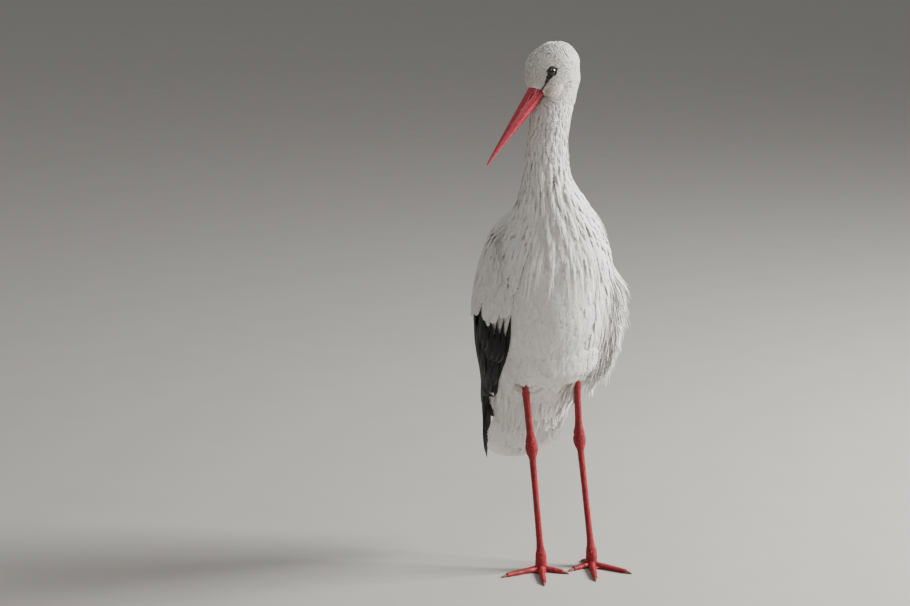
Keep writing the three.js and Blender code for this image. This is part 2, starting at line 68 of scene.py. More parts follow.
# Body from throat to tail root: centre x, y, z, half-width, depth to the breast, to the back.
BODY = np.array([
    [-12, -67, 882, 19, 15, 17], [-10, -64, 851, 37, 32, 33], [-17, -69, 808, 35, 35, 36],
    [-23, -73, 768, 33, 34, 35], [-25, -74, 732, 36, 36, 38], [-24, -72, 698, 40, 40, 44],
    [-19, -66, 665, 52, 50, 54], [-13, -58, 634, 66, 64, 62], [-9, -46, 598, 86, 82, 74],
    [-8, -32, 552, 99, 98, 85], [-8, -14, 495, 108, 105, 92], [-8, 6, 435, 108, 98, 90],
    [-7, 30, 376, 100, 74, 78], [-5, 57, 322, 82, 42, 60], [-3, 82, 280, 62, 25, 40],
    [-2, 100, 248, 48, 15, 24],
], float)
# Roof of the folded wings over the rump and tail, from body station ROOF_START on.
WING_ROOF = np.array([
    [-6, 57, 322, 90, 60, 66], [-8, 80, 282, 80, 50, 54], [-9, 98, 250, 72, 40, 44],
    [-10, 117, 218, 65, 30, 36], [-11, 137, 186, 57, 24, 30], [-12, 158, 150, 48, 18, 25],
], float)
ROOF_START = 13
# Head: forward of the bill root, half-width, height to the crown, depth to the throat.
HEAD = np.array([
    [14, 7, 14, 11], [7, 14, 22, 16], [-5, 23, 32, 21], [-18, 31, 40, 26], [-33, 37, 43, 31],
    [-48, 39, 41, 35], [-63, 37, 36.5, 35], [-77, 27, 28, 28.5], [-86, 10, 11, 11.5],
], float)
LEGS = {
    "right": {
        "hip": (-44, -30, 392), "knee": (-48.5, -30, 345),
        "ankle": (-27, 2, 227), "foot": (-7.3, 6, FOOT_TOP),
        "toes": {"outer": -72, "middle": -12, "inner": 51, "hind": 165},
    },
    "left": {
        "hip": (40, -16, 398), "knee": (46.6, -15, 357),
        "ankle": (70, 43, 226), "foot": (84, 8, FOOT_TOP),
        "toes": {"outer": 42, "middle": -12, "inner": -66, "hind": -168},
    },
}
TOE_LENGTHS = {"outer": 70, "middle": 76, "inner": 41, "hind": 26}
CLAW_LENGTH = 11.0
TAIL_ROOT = np.array([-2.0, 84.0, 282.0])
TAIL_WAY = np.array([-0.07, 0.5, -0.863])
TAIL_LENGTH = 144.0
X_AXIS, Z_AXIS = np.array([1.0, 0, 0]), np.array([0, 0, 1.0])


# ---- small number helpers


def unit(v):
    return v / np.maximum(np.linalg.norm(v, axis=-1, keepdims=True), 1e-9)


def smooth(value, low, high):
    u = np.clip((np.asarray(value, float) - low) / (high - low), 0, 1)
    return u * u * (3 - 2 * u)


def mix(a, b, share):
    return a + (b - a) * share


def rounded(share):
    return np.sqrt(np.maximum(0, 1 - (2 * share - 1) ** 2))


def turns_of(count):
    """Angles of equal steps round a full turn."""
    return 2 * math.pi * np.arange(count) / count


def value_at(setting, points):
    """A setting that is a number or a function of points, as one number for each point."""
    value = setting(points) if callable(setting) else setting
    return np.broadcast_to(np.asarray(value, float), len(points))


def lobes(share, count, height):
    return height * np.abs(np.sin(math.pi * count * share)) ** 0.7


def sideways(vectors, normals):
    """The part of each vector that lies in the surface."""
    return unit(vectors - normals * np.sum(vectors * normals, axis=-1, keepdims=True))


# ---- body surface


def read_stations(rows, position):
    """Catmull-Rom reading of a table of stations at fractional positions."""
    last = len(rows) - 1
    at = np.clip(position, 0, last)
    i = np.minimum(at.astype(int), last - 1)
    u = (at - i)[..., None]
    a, b, c, d = (rows[np.clip(i + k, 0, last)] for k in (-1, 0, 1, 2))
    bend, twist = 2 * a - 5 * b + 4 * c - d, 3 * b - 3 * c + d - a
    return 0.5 * (2 * b + (c - a) * u + bend * u * u + twist * u * u * u)


def read_body(position, roof=False):
    rows = read_stations(BODY, position)
    if not roof:
        return rows
    cover = read_stations(WING_ROOF, position - ROOF_START)
    return mix(rows, cover, smooth(position, ROOF_START - 1, ROOF_START)[..., None])


def body_point(t, angle, height=0.0, roof=False):
    """Point on the body at station t. Angle 0 is the back, 90 degrees the bird's left."""
    t, angle = np.broadcast_arrays(np.asarray(t, float), np.asarray(angle, float))
    rows = read_body(t, roof)
    along = unit(read_body(t + 0.05, roof)[..., :3] - read_body(t - 0.05, roof)[..., :3])
    side = unit(X_AXIS - along * along[..., :1])
    rear = np.cross(side, along)
    half, front, back = rows[..., 3], rows[..., 4], rows[..., 5]
    sine, cosine = np.sin(angle), np.cos(angle)
    depth = np.where(cosine > 0, back, front)
    out = unit(np.stack([sine / half, cosine / depth], -1))
    across = half * sine + height * out[..., 0]
    behind = depth * cosine + height * out[..., 1]
    return rows[..., :3] + side * across[..., None] + rear * behind[..., None]


LAST_STATION = len(BODY) - 1
BODY_T = np.linspace(0, LAST_STATION, 301)
BODY_Z = read_body(BODY_T)[:, 2]


def station_of(points):
    """Body station level with each point."""
    return np.interp(-points[..., 2], -BODY_Z, BODY_T)


def angle_of(points):
    """Angle round the body of each point, 0 at the back and positive to the left."""
    rows = read_body(station_of(points))
    rel = points - rows[..., :3]
    return np.arctan2(rel[..., 0], rel[..., 1])


def off_back(points):
    """Degrees round the body from the back (0) to the breast (180), alike on both sides."""
    return np.degrees(np.abs(angle_of(points)))


def along_thigh(points, leg):
    """Share of the way from hip to knee, distance from that line, and the way itself."""
    hip, knee = np.array(leg["hip"], float), np.array(leg["knee"], float)
    way = knee - hip
    share = (points - hip) @ way / (way @ way)
    off = np.linalg.norm(points - hip - share[:, None] * way, axis=1)
    return share, off, way


# ---- head axes

FACING = np.array([-math.sin(HEAD_YAW), -math.cos(HEAD_YAW), 0.0])
BILL_WAY = FACING * math.cos(HEAD_PITCH) - Z_AXIS * math.sin(HEAD_PITCH)
LEVEL_LEFT = np.array([-FACING[1], FACING[0], 0.0])
LEVEL_CROWN = np.cross(BILL_WAY, LEVEL_LEFT)
HEAD_LEFT = LEVEL_LEFT * math.cos(HEAD_ROLL) + LEVEL_CROWN * math.sin(HEAD_ROLL)
CROWN = LEVEL_CROWN * math.cos(HEAD_ROLL) - LEVEL_LEFT * math.sin(HEAD_ROLL)


def head_point(forward, left, up):
    forward, left, up = (np.asarray(v, float)[..., None] for v in (forward, left, up))
    return BILL_ROOT + BILL_WAY * forward + HEAD_LEFT * left + CROWN * up


def head_coordinates(points):
    """Forward, left and up of each point in the head's own axes."""
    rel = points - BILL_ROOT
    return rel @ BILL_WAY, rel @ HEAD_LEFT, rel @ CROWN


# The frame puts the bird's middle over the origin. One eye's box says by how much.
EYE_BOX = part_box("eye_left")
SHIFT = (np.array(EYE_BOX[0]) + np.array(EYE_BOX[1])) / 2 / MM - head_point(*EYE_AT)


def to_frame(points):
    return (np.asarray(points, float) + SHIFT) * MM


# ---- mesh helpers


def linked(name, data):
    """Object in the scene that shows a mesh, a lamp or a camera."""
    item = bpy.data.objects.new(name, data)
    bpy.context.scene.collection.objects.link(item)
    return item


def make_object(name, points, faces, material=None, smooth_faces=True):
    """Mesh object from points in millimetres and faces, in the frame's metres."""
    mesh = bpy.data.meshes.new(name)
    mesh.from_pydata(to_frame(points).tolist(), [], [list(f) for f in faces])
    mesh.polygons.foreach_set("use_smooth", [smooth_faces] * len(mesh.polygons))
    mesh.update()
    if material:
        mesh.materials.append(material)
    return linked(name, mesh)


def triangle_object(name, points, triangles, material):
    """Mesh object from large arrays of points in millimetres and triangles."""
    mesh = bpy.data.meshes.new(name)
    mesh.vertices.add(len(points))
    mesh.vertices.foreach_set("co", to_frame(points).astype(np.float32).ravel())
    mesh.loops.add(triangles.size)
    mesh.loops.foreach_set("vertex_index", triangles.astype(np.int32).ravel())
    mesh.polygons.add(len(triangles))
    mesh.polygons.foreach_set("loop_start", np.arange(0, triangles.size, 3, dtype=np.int32))
    mesh.polygons.foreach_set("use_smooth", np.ones(len(triangles), bool))
    mesh.update(calc_edges=True)
    mesh.materials.append(material)
    return linked(name, mesh)


def ring_quads(rows, around, closed=False):
    """Quads between rings in a row, and from the last to the first where closed."""
    faces = []
    for r in range(rows if closed else rows - 1):
        for c in range(around):
            d, s = (c + 1) % around, (r + 1) % rows
            faces.append((r * around + c, r * around + d, s * around + d, s * around + c))
    return faces


def ring_faces(rows, around):
    """Quads of a tube of rings, with one fan at each end on two extra points."""
    faces = ring_quads(rows, around)
    first, last = rows * around, rows * around + 1
    for c in range(around):
        d = (c + 1) % around
        faces.append((d, c, first))
        faces.append(((rows - 1) * around + c, (rows - 1) * around + d, last))
    return faces


def tube(rings):
    """Closed surface through rings of equal count, given as an array (rows, around, 3)."""
    rings = np.asarray(rings, float)
    rows, around = rings.shape[:2]
    ends = [rings[0].mean(0), rings[-1].mean(0)]
    points = np.vstack([rings.reshape(-1, 3), ends])
    faces = ring_faces(rows, around)
    middle = rings.mean(1)
    way = unit(middle[-1] - middle[0])
    spokes = rings[rows // 2] - middle[rows // 2]
    area = sum(np.cross(spokes[k - 1], spokes[k]) @ way for k in range(around))
    if area < 0:
        faces = [tuple(reversed(f)) for f in faces]
    return points, faces


def together(parts):
    """Points and faces of several shapes as one list each."""
    points, faces, start = [], [], 0
    for p, f in parts:
        points.append(np.asarray(p))
        faces += [tuple(i + start for i in face) for face in f]
        start += len(p)
    return np.vstack(points), faces


def limb_rings(stations, around, grow=0.0):
    """Rings along stations (x, y, z, half-width, half-depth)."""
    rows = np.asarray(stations, float)
    along = unit(np.gradient(rows[:, :3], axis=0))
    width = sideways(np.broadcast_to(X_AXIS, along.shape), along)
    depth = np.cross(along, width)
    turn = 2 * math.pi * (np.arange(around) + 0.5) / around
    a, b = rows[:, 3:4] + grow, rows[:, 4:5] + grow
    return (rows[:, None, :3] + width[:, None] * (a * np.cos(turn))[..., None]
            + depth[:, None] * (b * np.sin(turn))[..., None])


def make_plain(item):
    """Gives an object the mesh that its modifiers make, and returns the mesh that it had."""
    graph = bpy.context.evaluated_depsgraph_get()
    made, before = bpy.data.meshes.new_from_object(item.evaluated_get(graph)), item.data
    item.modifiers.clear()
    item.data = made
    return before


def fused(name, shapes, voxel, relax):
    """One closed mesh round overlapping shapes, relaxed so that the joins flow."""
    points, faces = together(shapes)
    item = make_object(name, points, faces)
    remesh = item.modifiers.new("fuse", "REMESH")
    remesh.mode = "VOXEL"
    remesh.voxel_size = voxel * MM
    soften = item.modifiers.new("relax", "SMOOTH")
    soften.factor = 0.5
    soften.iterations = relax
    bpy.data.meshes.remove(make_plain(item))
    mesh = item.data
    mesh.name = name
    mesh.polygons.foreach_set("use_smooth", [True] * len(mesh.polygons))
    return item


def mesh_arrays(mesh):
    """Points in millimetres, triangles and normals of a mesh."""
    mesh.calc_loop_triangles()
    points = np.empty(len(mesh.vertices) * 3, np.float32)
    mesh.vertices.foreach_get("co", points)
    triangles = np.empty(len(mesh.loop_triangles) * 3, np.int32)
    mesh.loop_triangles.foreach_get("vertices", triangles)
    normals = np.empty(len(mesh.vertices) * 3, np.float32)
    mesh.vertices.foreach_get("normal", normals)
    points = points.reshape(-1, 3).astype(float) / MM - SHIFT
    return points, triangles.reshape(-1, 3), normals.reshape(-1, 3).astype(float)


def tree_over(points, triangles):
    return BVHTree.FromPolygons(points.tolist(), triangles.tolist(), all_triangles=True)


def set_point_attribute(mesh, name, values):
    attribute = mesh.attributes.new(name, "FLOAT", "POINT")
    attribute.data.foreach_set("value", np.asarray(values, np.float32))


def add_uv(mesh, name, values):
    """UV map from one value pair for each mesh point."""
    layer = mesh.uv_layers.new(name=name)
    corners = np.empty(len(mesh.loops), np.int32)
    mesh.loops.foreach_get("vertex_index", corners)
    layer.data.foreach_set("uv", np.asarray(values, np.float32)[corners].ravel())


def settle(item, slot, *nodes):
    """Ties a finished piece to the bird and hides the solids that it stands for; its finish, `slot`, is not
    used.
    """
    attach(item, "root")
    if nodes:
        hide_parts(*nodes)
    return item


# ---- the skin as ground for feathers


def inset_head(depth):
    """Skin of the head, inside its outline by a depth."""
    turn = turns_of(28)
    fine = read_stations(HEAD, np.linspace(0, len(HEAD) - 1, 33))
    rings = []
    for forward, half, top, bottom in fine:
        left = max(half - depth, 2) * np.cos(turn)
        up = (np.where(np.sin(turn) > 0, top, bottom) - depth) * np.sin(turn)
        rings.append(head_point(np.full(28, forward), left, up))
    return tube(rings)


# Soft fill from the back of the head to the nape: centre x, y, z, half-width, half-depth.
NAPE = [(-8, -68, 892, 24, 20), (-5, -67, 878, 32, 27), (-5, -66, 862, 34, 30), (-8, -65, 846, 33, 30),
        (-10, -64, 832, 31, 29)]
# Loose belly that closes over the thighs, in the same form.
APRON = [(-8, -2, 500, 78, 70), (-7, -8, 455, 85, 71), (-5, -12, 420, 85, 66), (-3, -16, 392, 80, 57),
         (-1, -16, 368, 70, 44), (0, -13, 349, 54, 24)]
CHEEK = (-12.0, 12.5, -15.5)  # middle of a cheek in the head's axes
CHEEK_SIZE = (17.0, 12.0, 10.0)


def cheek(side):
    """Soft bulge of the jaw behind the corner of the mouth."""
    polar = np.linspace(0, math.pi, 14)[1:-1, None]
    turn = turns_of(20)[None]
    forward = CHEEK[0] + CHEEK_SIZE[0] * np.cos(polar) + 0 * turn
    left = CHEEK[1] + CHEEK_SIZE[1] * np.sin(polar) * np.cos(turn)
    up = CHEEK[2] + CHEEK_SIZE[2] * np.sin(polar) * np.sin(turn)
    return tube(head_point(forward, side * left, up))


def blush_of(points):
    """How pink the thin coat of the cheek is, 0 to 1."""
    forward, left, up = head_coordinates(points)
    off = np.hypot(np.hypot(forward + 8, np.abs(left) - 17), up + 13)
    return np.exp(-(off / 11) ** 2)


def coat_depth(points):
    """How far the coat stands over the skin: least on the face, most on the trunk."""
    z = points[..., 2]
    return mix(mix(3.0, 5.5, smooth(-z, -850, -800)), 10.0, smooth(-z, -690, -590))


def inset_body():
    """Skin of the neck and trunk, inside their outline by the depth of the coat."""
    turn = turns_of(40)
    rings = []
    for t in np.linspace(0, LAST_STATION, 76):
        centre = read_body(np.array([t]))[0, :3]
        rings.append(body_point(np.full(40, t), turn, -coat_depth(centre)))
    return tube(rings)


THIGH = [(-0.8, 8, 8), (-0.6, 20, 20), (-0.3, 32, 31), (0, 37, 36), (0.42, 34, 34), (0.72, 26, 28),
         (0.9, 17, 18.5), (1.0, 11, 12), (1.08, 8.4, 9)]
THIGH_COAT = 6.0
THIGH_FROM = 0.6  # share of the way from hip to knee at which the coat turns down the thigh
HEM = {"right": 0.96, "left": 0.84}  # share of that way at which the coat ends
FAR = 90.0  # millimetres from the hem beyond which the thigh has no more say


def leg_stations(start, end, rows):
    start, end = np.array(start, float), np.array(end, float)
    return [(*(start + (end - start) * share), half, deep) for share, half, deep in rows]


TRIES = 6  # spots tried for each root that a stretch of skin has room for
SET_ROUNDS, FREE_ROUNDS = 250, 10  # rounds of easing with the lie set on face and body, then free


class Ground:
    """The skin's surface, and the lie of the coat over it."""

    def __init__(self, mesh):
        self.points, self.triangles, self.normals = mesh_arrays(mesh)
        corner = self.points[self.triangles]
        cross = np.cross(corner[:, 1] - corner[:, 0], corner[:, 2] - corner[:, 0])
        self.areas = np.linalg.norm(cross, axis=1) / 2
        self.centres = corner.mean(1)
        self.face_normals = unit(self.normals[self.triangles].mean(1))
        self.tree = tree_over(self.points, self.triangles)
        self.lores = {}
        self.lie = self.find_lie()
        self.face_lie = sideways(self.lie[self.triangles].mean(1), self.face_normals)

    def find_lie(self):
        """Direction of the coat at every point: set on the face, body and thighs, eased between."""
        t = station_of(self.points)
        way = unit(read_body(t + 0.1)[:, :3] - read_body(t - 0.1)[:, :3])
        forward, left, up = head_coordinates(self.points)
        head = (up > -21) & (self.points[:, 2] > HEAD_FOOT)
        nape = smooth(-forward, 12, 78)[:, None]
        way[head] = (-BILL_WAY * (1 - nape) - Z_AXIS * nape)[head]
        free = (self.points[:, 2] > HEAD_FOOT) & ~head & (up > -34)
        for leg in LEGS.values():
            share, off, thigh_way = along_thigh(self.points, leg)
            way[(share > THIGH_FROM) & (off < 42)] = unit(thigh_way)
        way = sideways(way, self.normals)
        a, b = self.triangles[:, [0, 1, 2]].ravel(), self.triangles[:, [1, 2, 0]].ravel()
        count = np.bincount(a, minlength=len(way)) + np.bincount(b, minlength=len(way))
        lie = way.copy()
        for turn in range(SET_ROUNDS + FREE_ROUNDS):
            total = np.stack([np.bincount(a, lie[b, k], len(way)) + np.bincount(b, lie[a, k], len(way))
                              for k in range(3)], 1)
            eased = total / np.maximum(count, 1)[:, None]
            if turn < SET_ROUNDS:
                lie[free] = eased[free]
            else:
                lie = eased
            lie = sideways(lie, self.normals)
        return lie

    def scatter(self, rng, spacing, keep):
        """Roots no closer than a spacing to each other, where keep(points) is true."""
        faces = np.nonzero(keep(self.centres))[0]
        gap = value_at(spacing, self.centres[faces])
        weight = self.areas[faces] / gap ** 2
        count = int(weight.sum() * TRIES)
        chosen = faces[rng.choice(len(faces), count, p=weight / weight.sum())]
        u, v = np.sqrt(rng.random(count)), rng.random(count)
        corner = self.points[self.triangles[chosen]]
        spots = (corner[:, 0] * (1 - u)[:, None] + corner[:, 1] * (u * (1 - v))[:, None]
                 + corner[:, 2] * (u * v)[:, None])
        gaps = value_at(spacing, spots)
        cell = gaps.max()
        keys = np.floor(spots / cell).astype(int)
        grid, kept = {}, []
        offsets = [(x, y, z) for x in (-1, 0, 1) for y in (-1, 0, 1) for z in (-1, 0, 1)]
        spot_list, gap_list, key_list = spots.tolist(), (gaps ** 2).tolist(), keys.tolist()
        for n in range(count):
            (x, y, z), (i, j, k), least = spot_list[n], key_list[n], gap_list[n]
            close = False
            for dx, dy, dz in offsets:
                for px, py, pz in grid.get((i + dx, j + dy, k + dz), ()):
                    if (px - x) ** 2 + (py - y) ** 2 + (pz - z) ** 2 < least:
                        close = True
                        break
                if close:
                    break
            if not close:
                grid.setdefault((i, j, k), []).append((x, y, z))
                kept.append(n)
        kept = np.array(kept)
        inside = keep(spots[kept])
        return spots[kept][inside], chosen[kept][inside]

    def lay(self, roots, faces, lengths, turns, steps, hug, pull):
        """Lines along the coat's lie from each root. `hug` is the share that follows the skin, and
        `pull` the way in which the rest droops."""
        count = len(roots)
        path = np.empty((count, steps + 1, 3))
        out = np.empty((count, steps + 1, 3))
        find, face_lie, face_normals = self.tree.find_nearest, self.face_lie, self.face_normals
        path[:, 0], out[:, 0] = roots, face_normals[faces]
        way = face_lie[faces]
        way = way * np.cos(turns)[:, None] + np.cross(out[:, 0], way) * np.sin(turns)[:, None]
        here, face = roots.copy(), faces.copy()
        for k in range(1, steps + 1):
            ahead = here + way * (lengths / steps)[:, None]
            if k / steps <= hug:
                for n, spot in enumerate(ahead.tolist()):
                    found, _, index, _ = find(spot)
                    here[n] = found
                    face[n] = index
                normal = face_normals[face]
                way = sideways(way + 0.35 * face_lie[face], normal)
            else:
                here = ahead
                way = unit(way + pull)
                normal = sideways(out[:, k - 1], way)
            path[:, k], out[:, k] = here, normal
        return path, out


GROUND = {}


def ground():
    """The skin's ground, worked out once."""
    if "skin" not in GROUND:
        GROUND["skin"] = Ground(bpy.data.objects["skin"].data)
    return GROUND["skin"]


# ---- vanes

PATCH = 0.003  # size of a tuft's patch on the unwrapped skin


def unwrap(points):
    """Place of each point on a flat map of the skin: head above, neck and trunk below."""
    forward, left, up = head_coordinates(points)
    on_head = (points[..., 2] > 838) & (np.hypot(left, up) < 60)
    body_u = angle_of(points) / (2 * math.pi) + 0.5
    body_v = 0.72 * (1 - station_of(points) / LAST_STATION)
    head_u = np.arctan2(left, up) / (2 * math.pi) + 0.5
    head_v = 0.74 + 0.24 * np.clip((forward + 90) / 110, 0, 1)
    u = np.where(on_head, head_u, body_u)
    v = np.where(on_head, head_v, body_v)
    return np.stack([0.01 + 0.97 * u, 0.01 + 0.97 * v], -1)


def vane_triangles(barbs):
    """Triangles of one vane. Points: root, tip, then for each barb row the shaft's upper and
    lower point, and on each side the barb's tip and the notch before the next barb."""
    root, tip = 0, 1

    def at(i, which):
        return 2 + 6 * (i - 1) + which

    faces = []
    for face, shaft in ((1, 0), (-1, 1)):
        for side, edge in ((1, 2), (-1, 4)):
            part = []
            for i in range(1, barbs + 1):
                before = root if i == 1 else at(i - 1, edge + 1)
                part.append((at(i, shaft), at(i, edge), before))
                part.append((at(i, shaft), at(i, edge + 1), at(i, edge)))
                if i > 1:
                    part.append((at(i - 1, shaft), at(i, shaft), before))
            part.append((at(barbs, shaft), tip, at(barbs, edge + 1)))
            faces += [f if face * side > 0 else f[::-1] for f in part]
    return np.array(faces)


def leaf(share, fullest, fullness):
    """Half-width of a vane along its length, as a share of its widest."""
    return np.sin(math.pi * np.clip(share, 0, 1) ** fullest) ** fullness


def vane_points(path, out, half, look, rng):
    """Points of vanes along lines `path` (count, barbs + 2, 3) with outward directions `out`."""
    count, rows = path.shape[:2]
    barbs = rows - 2
    along = unit(np.gradient(path, axis=1))
    side = unit(np.cross(out, along))
    face = np.cross(along, side)
    length = np.linalg.norm(np.diff(path, axis=1), axis=2).sum(1)
    step = (length / (rows - 1))[:, None]
    share = np.arange(1, barbs + 1) / (rows - 1)
    thick = look["thick"] * (1 - 0.7 * share)[None, :, None] * face[:, 1:-1]
    points = np.empty((count, 2 + 6 * barbs, 3))
    points[:, 0], points[:, 1] = path[:, 0], path[:, -1]
    body = points[:, 2:].reshape(count, barbs, 6, 3)
    body[:, :, 0] = path[:, 1:-1] + thick / 2
    body[:, :, 1] = path[:, 1:-1] - thick / 2
    curl = look["camber"]
    for column, sign in ((2, 1.0), (4, -1.0)):
        for extra, lean in ((0, look["lean"]), (1, look["lean"] + 0.4)):
            width = leaf(share + lean / (rows - 1), look["fullest"], look["fullness"])
            wide = width[None] * half[:, None]
            if extra:
                depth = look["notch"] * (0.5 + rng.random((count, barbs)))
                wide = wide * np.clip(1 - depth, 0.08, 1)
            else:
                wide = wide * (1 + look["ragged"] * (rng.random((count, barbs)) - 0.3))
            body[:, :, column + extra] = (
                path[:, 1:-1] + along[:, 1:-1] * (lean * step)[..., None]
                + side[:, 1:-1] * (sign * wide)[..., None] - face[:, 1:-1] * (curl * wide)[..., None]
            )
    return points


def vane_uvs(barbs):
    """Across and along of each point of one vane, 0 to 1."""
    uv = np.zeros((2 + 6 * barbs, 2))
    uv[0], uv[1] = (0.5, 0), (0.5, 1)
    for i in range(1, barbs + 1):
        share = i / (barbs + 1)
        at = 2 + 6 * (i - 1)
        uv[at:at + 2] = (0.5, share)
        uv[at + 2], uv[at + 3] = (1, share + 0.3 / (barbs + 1)), (0.9, share + 0.6 / (barbs + 1))
        uv[at + 4], uv[at + 5] = (0, share + 0.3 / (barbs + 1)), (0.1, share + 0.6 / (barbs + 1))
    return uv


def sharpen_rims(mesh, on_rim):
    """Marks the edges between rim points sharp, so that a vane's two faces shade apart."""
    ends = np.empty(len(mesh.edges) * 2, np.int32)
    mesh.edges.foreach_get("vertices", ends)
    sharp = on_rim[ends.reshape(-1, 2)].all(1)
    mesh.attributes.new("sharp_edge", "BOOLEAN", "EDGE").data.foreach_set("value", sharp)


def feathers(name, groups, material):
    """One object of vanes from groups of (path, out, half-widths, look, roots, shade)."""
    rng = np.random.default_rng(len(name) * 7919)
    parts, start = [], 0
    for path, out, half, look, roots, shade in groups:
        barbs = path.shape[1] - 2
        points = vane_points(path, out, half, look, rng)
        count, each = points.shape[:2]
        pattern, flat = vane_triangles(barbs), vane_uvs(barbs)
        faces = pattern[None] + (start + each * np.arange(count))[:, None, None]
        order = np.arange(each)
        on_rim = (order < 2) | ((order - 2) % 6 > 1)
        parts.append((
            points.reshape(-1, 3), faces.reshape(-1, 3), np.tile(on_rim, count),
            (unwrap(roots)[:, None] + flat[None] * PATCH).reshape(-1, 2), np.tile(flat, (count, 1)),
            np.repeat(shade, each), np.repeat(blush_of(roots), each),
        ))
        start += count * each
    points, faces, rims, places, vanes, shades, blushes = (np.concatenate(part) for part in zip(*parts))
    item = triangle_object(name, points, faces, material)
    sharpen_rims(item.data, rims)
    add_uv(item.data, "OFBake", places)
    add_uv(item.data, "Vane", vanes)
    set_point_attribute(item.data, "shade", shades)
    set_point_attribute(item.data, "blush", blushes)
    return item


# ---- materials


class Recipe:
    """A Principled material and short ways to add nodes to it."""

    def __init__(self, name, roughness, **uniform):
        self.material = bpy.data.materials.new(name)
        self.material.use_nodes = True
        self.tree = self.material.node_tree
        self.shader = self.tree.nodes["Principled BSDF"]
        self.shader.inputs["Roughness"].default_value = roughness
        for socket, value in uniform.items():
            self.shader.inputs[socket.replace("_", " ")].default_value = value

    def add(self, kind, **settings):
        node = self.tree.nodes.new(kind)
        for key, value in settings.items():
            setattr(node, key, value)
        return node

    def put(self, value, socket):
        """Sets a socket to a number or colour, or links it to another socket."""
        if isinstance(value, bpy.types.NodeSocket):
            self.tree.links.new(value, socket)
        else:
            socket.default_value = value

    def math(self, operation, a, b=0.0, clamp=False):
        """Result of a sum. Sockets and numbers both go in."""
        node = self.add("ShaderNodeMath", operation=operation, use_clamp=clamp)
        self.put(a, node.inputs[0])
        self.put(b, node.inputs[1])
        return node.outputs[0]

    def times(self, a, b):
        return self.math("MULTIPLY", a, b)

    def blend(self, share, first, second):
        """Mix of two colours, each a socket or a setting."""
        node = self.add("ShaderNodeMix", data_type="RGBA")
        self.put(share, node.inputs["Factor"])
        for value, socket in ((first, node.inputs[6]), (second, node.inputs[7])):
            self.put(value if isinstance(value, bpy.types.NodeSocket) else (*value, 1), socket)
        return node.outputs[2]

    def ramp(self, value, low, high):
        node = self.add("ShaderNodeMapRange", interpolation_type="SMOOTHSTEP")
        self.put(value, node.inputs["Value"])
        node.inputs["From Min"].default_value = low
        node.inputs["From Max"].default_value = high
        return node.outputs["Result"]

    def attribute(self, name):
        return self.add("ShaderNodeAttribute", attribute_name=name).outputs["Fac"]

    def noise(self, scale, detail, stretch=(1, 1, 1)):
        """Noise on Object coordinates. The scale is in bumps for each metre."""
        coordinates = self.add("ShaderNodeTexCoord")
        mapping = self.add("ShaderNodeMapping")
        mapping.inputs["Scale"].default_value = stretch
        self.tree.links.new(coordinates.outputs["Object"], mapping.inputs["Vector"])
        node = self.add("ShaderNodeTexNoise")
        node.inputs["Scale"].default_value = scale
        node.inputs["Detail"].default_value = detail
        self.tree.links.new(mapping.outputs[0], node.inputs["Vector"])
        return node.outputs["Fac"]

    def cells(self, scale, feature="DISTANCE_TO_EDGE"):
        """Distance to the edge or the middle of irregular cells, so many for each metre."""
        coordinates = self.add("ShaderNodeTexCoord")
        node = self.add("ShaderNodeTexVoronoi", feature=feature)
        node.inputs["Scale"].default_value = scale
        self.tree.links.new(coordinates.outputs["Object"], node.inputs["Vector"])
        return node.outputs["Distance"]

    def vane(self):
        """Across (0 at the shaft, 1 at the edges) and along of a vane."""
        uv = self.add("ShaderNodeUVMap", uv_map="Vane")
        split = self.add("ShaderNodeSeparateXYZ")
        self.tree.links.new(uv.outputs[0], split.inputs[0])
        off = self.math("ABSOLUTE", self.math("SUBTRACT", split.outputs[0], 0.5))
        return self.times(off, 2.0), split.outputs[1]

    def colour(self, value):
        self.tree.links.new(value, self.shader.inputs["Base Color"])

    def bump(self, height, distance, strength):
        node = self.add("ShaderNodeBump")
        node.inputs["Strength"].default_value = strength
        node.inputs["Distance"].default_value = distance
        self.tree.links.new(height, node.inputs["Height"])
        self.tree.links.new(node.outputs[0], self.shader.inputs["Normal"])


def barbs_height(recipe, across, along, count, slant):
    """Fine ridges that run from the shaft out and forward, and the shaft between them."""
    place = recipe.math("SUBTRACT", recipe.times(along, count), recipe.times(across, slant))
    ridges = recipe.math("SINE", recipe.times(place, 2 * math.pi))
    shaft = recipe.times(recipe.ramp(across, 0.12, 0.0), 2.0)
    return recipe.math("ADD", recipe.times(ridges, 0.5), shaft)


BLUSH_DEPTH = 0.6  # how much of the pink skin shows where the cheek's coat is thinnest


def white_plumage(name, looks, count, slant, shaft_tone):
    """White feathers: a cooler, darker root that is painted shade under the overlapping feathers, a warm
    clean tip, fine barbs, and each a little different.
    """
    recipe = Recipe(name, 0.8, Sheen_Weight=0.3, Sheen_Roughness=0.5, Specular_IOR_Level=0.2,
                    Subsurface_Weight=0.3, Subsurface_Radius=(1.0, 0.93, 0.82), Subsurface_Scale=0.003)
    across, along = recipe.vane()
    # Painted shade: each feather is darker towards its root, where the next ones overlap it.
    base = recipe.blend(recipe.ramp(along, 0.0, 0.55), looks.plumage_root, looks.plumage)
    # Per-feather stain, and also painted shade where the brow is ruffled.
    base = recipe.blend(recipe.attribute("shade"), base, looks.plumage_stain)
    base = recipe.blend(recipe.times(recipe.ramp(across, 0.1, 0.0), shaft_tone), base, looks.shaft)
    pink = recipe.times(recipe.attribute("blush"), BLUSH_DEPTH)
    recipe.colour(recipe.blend(pink, base, looks.blush))
    recipe.bump(barbs_height(recipe, across, along, count, slant), 0.0002, 0.45)
    return recipe.material


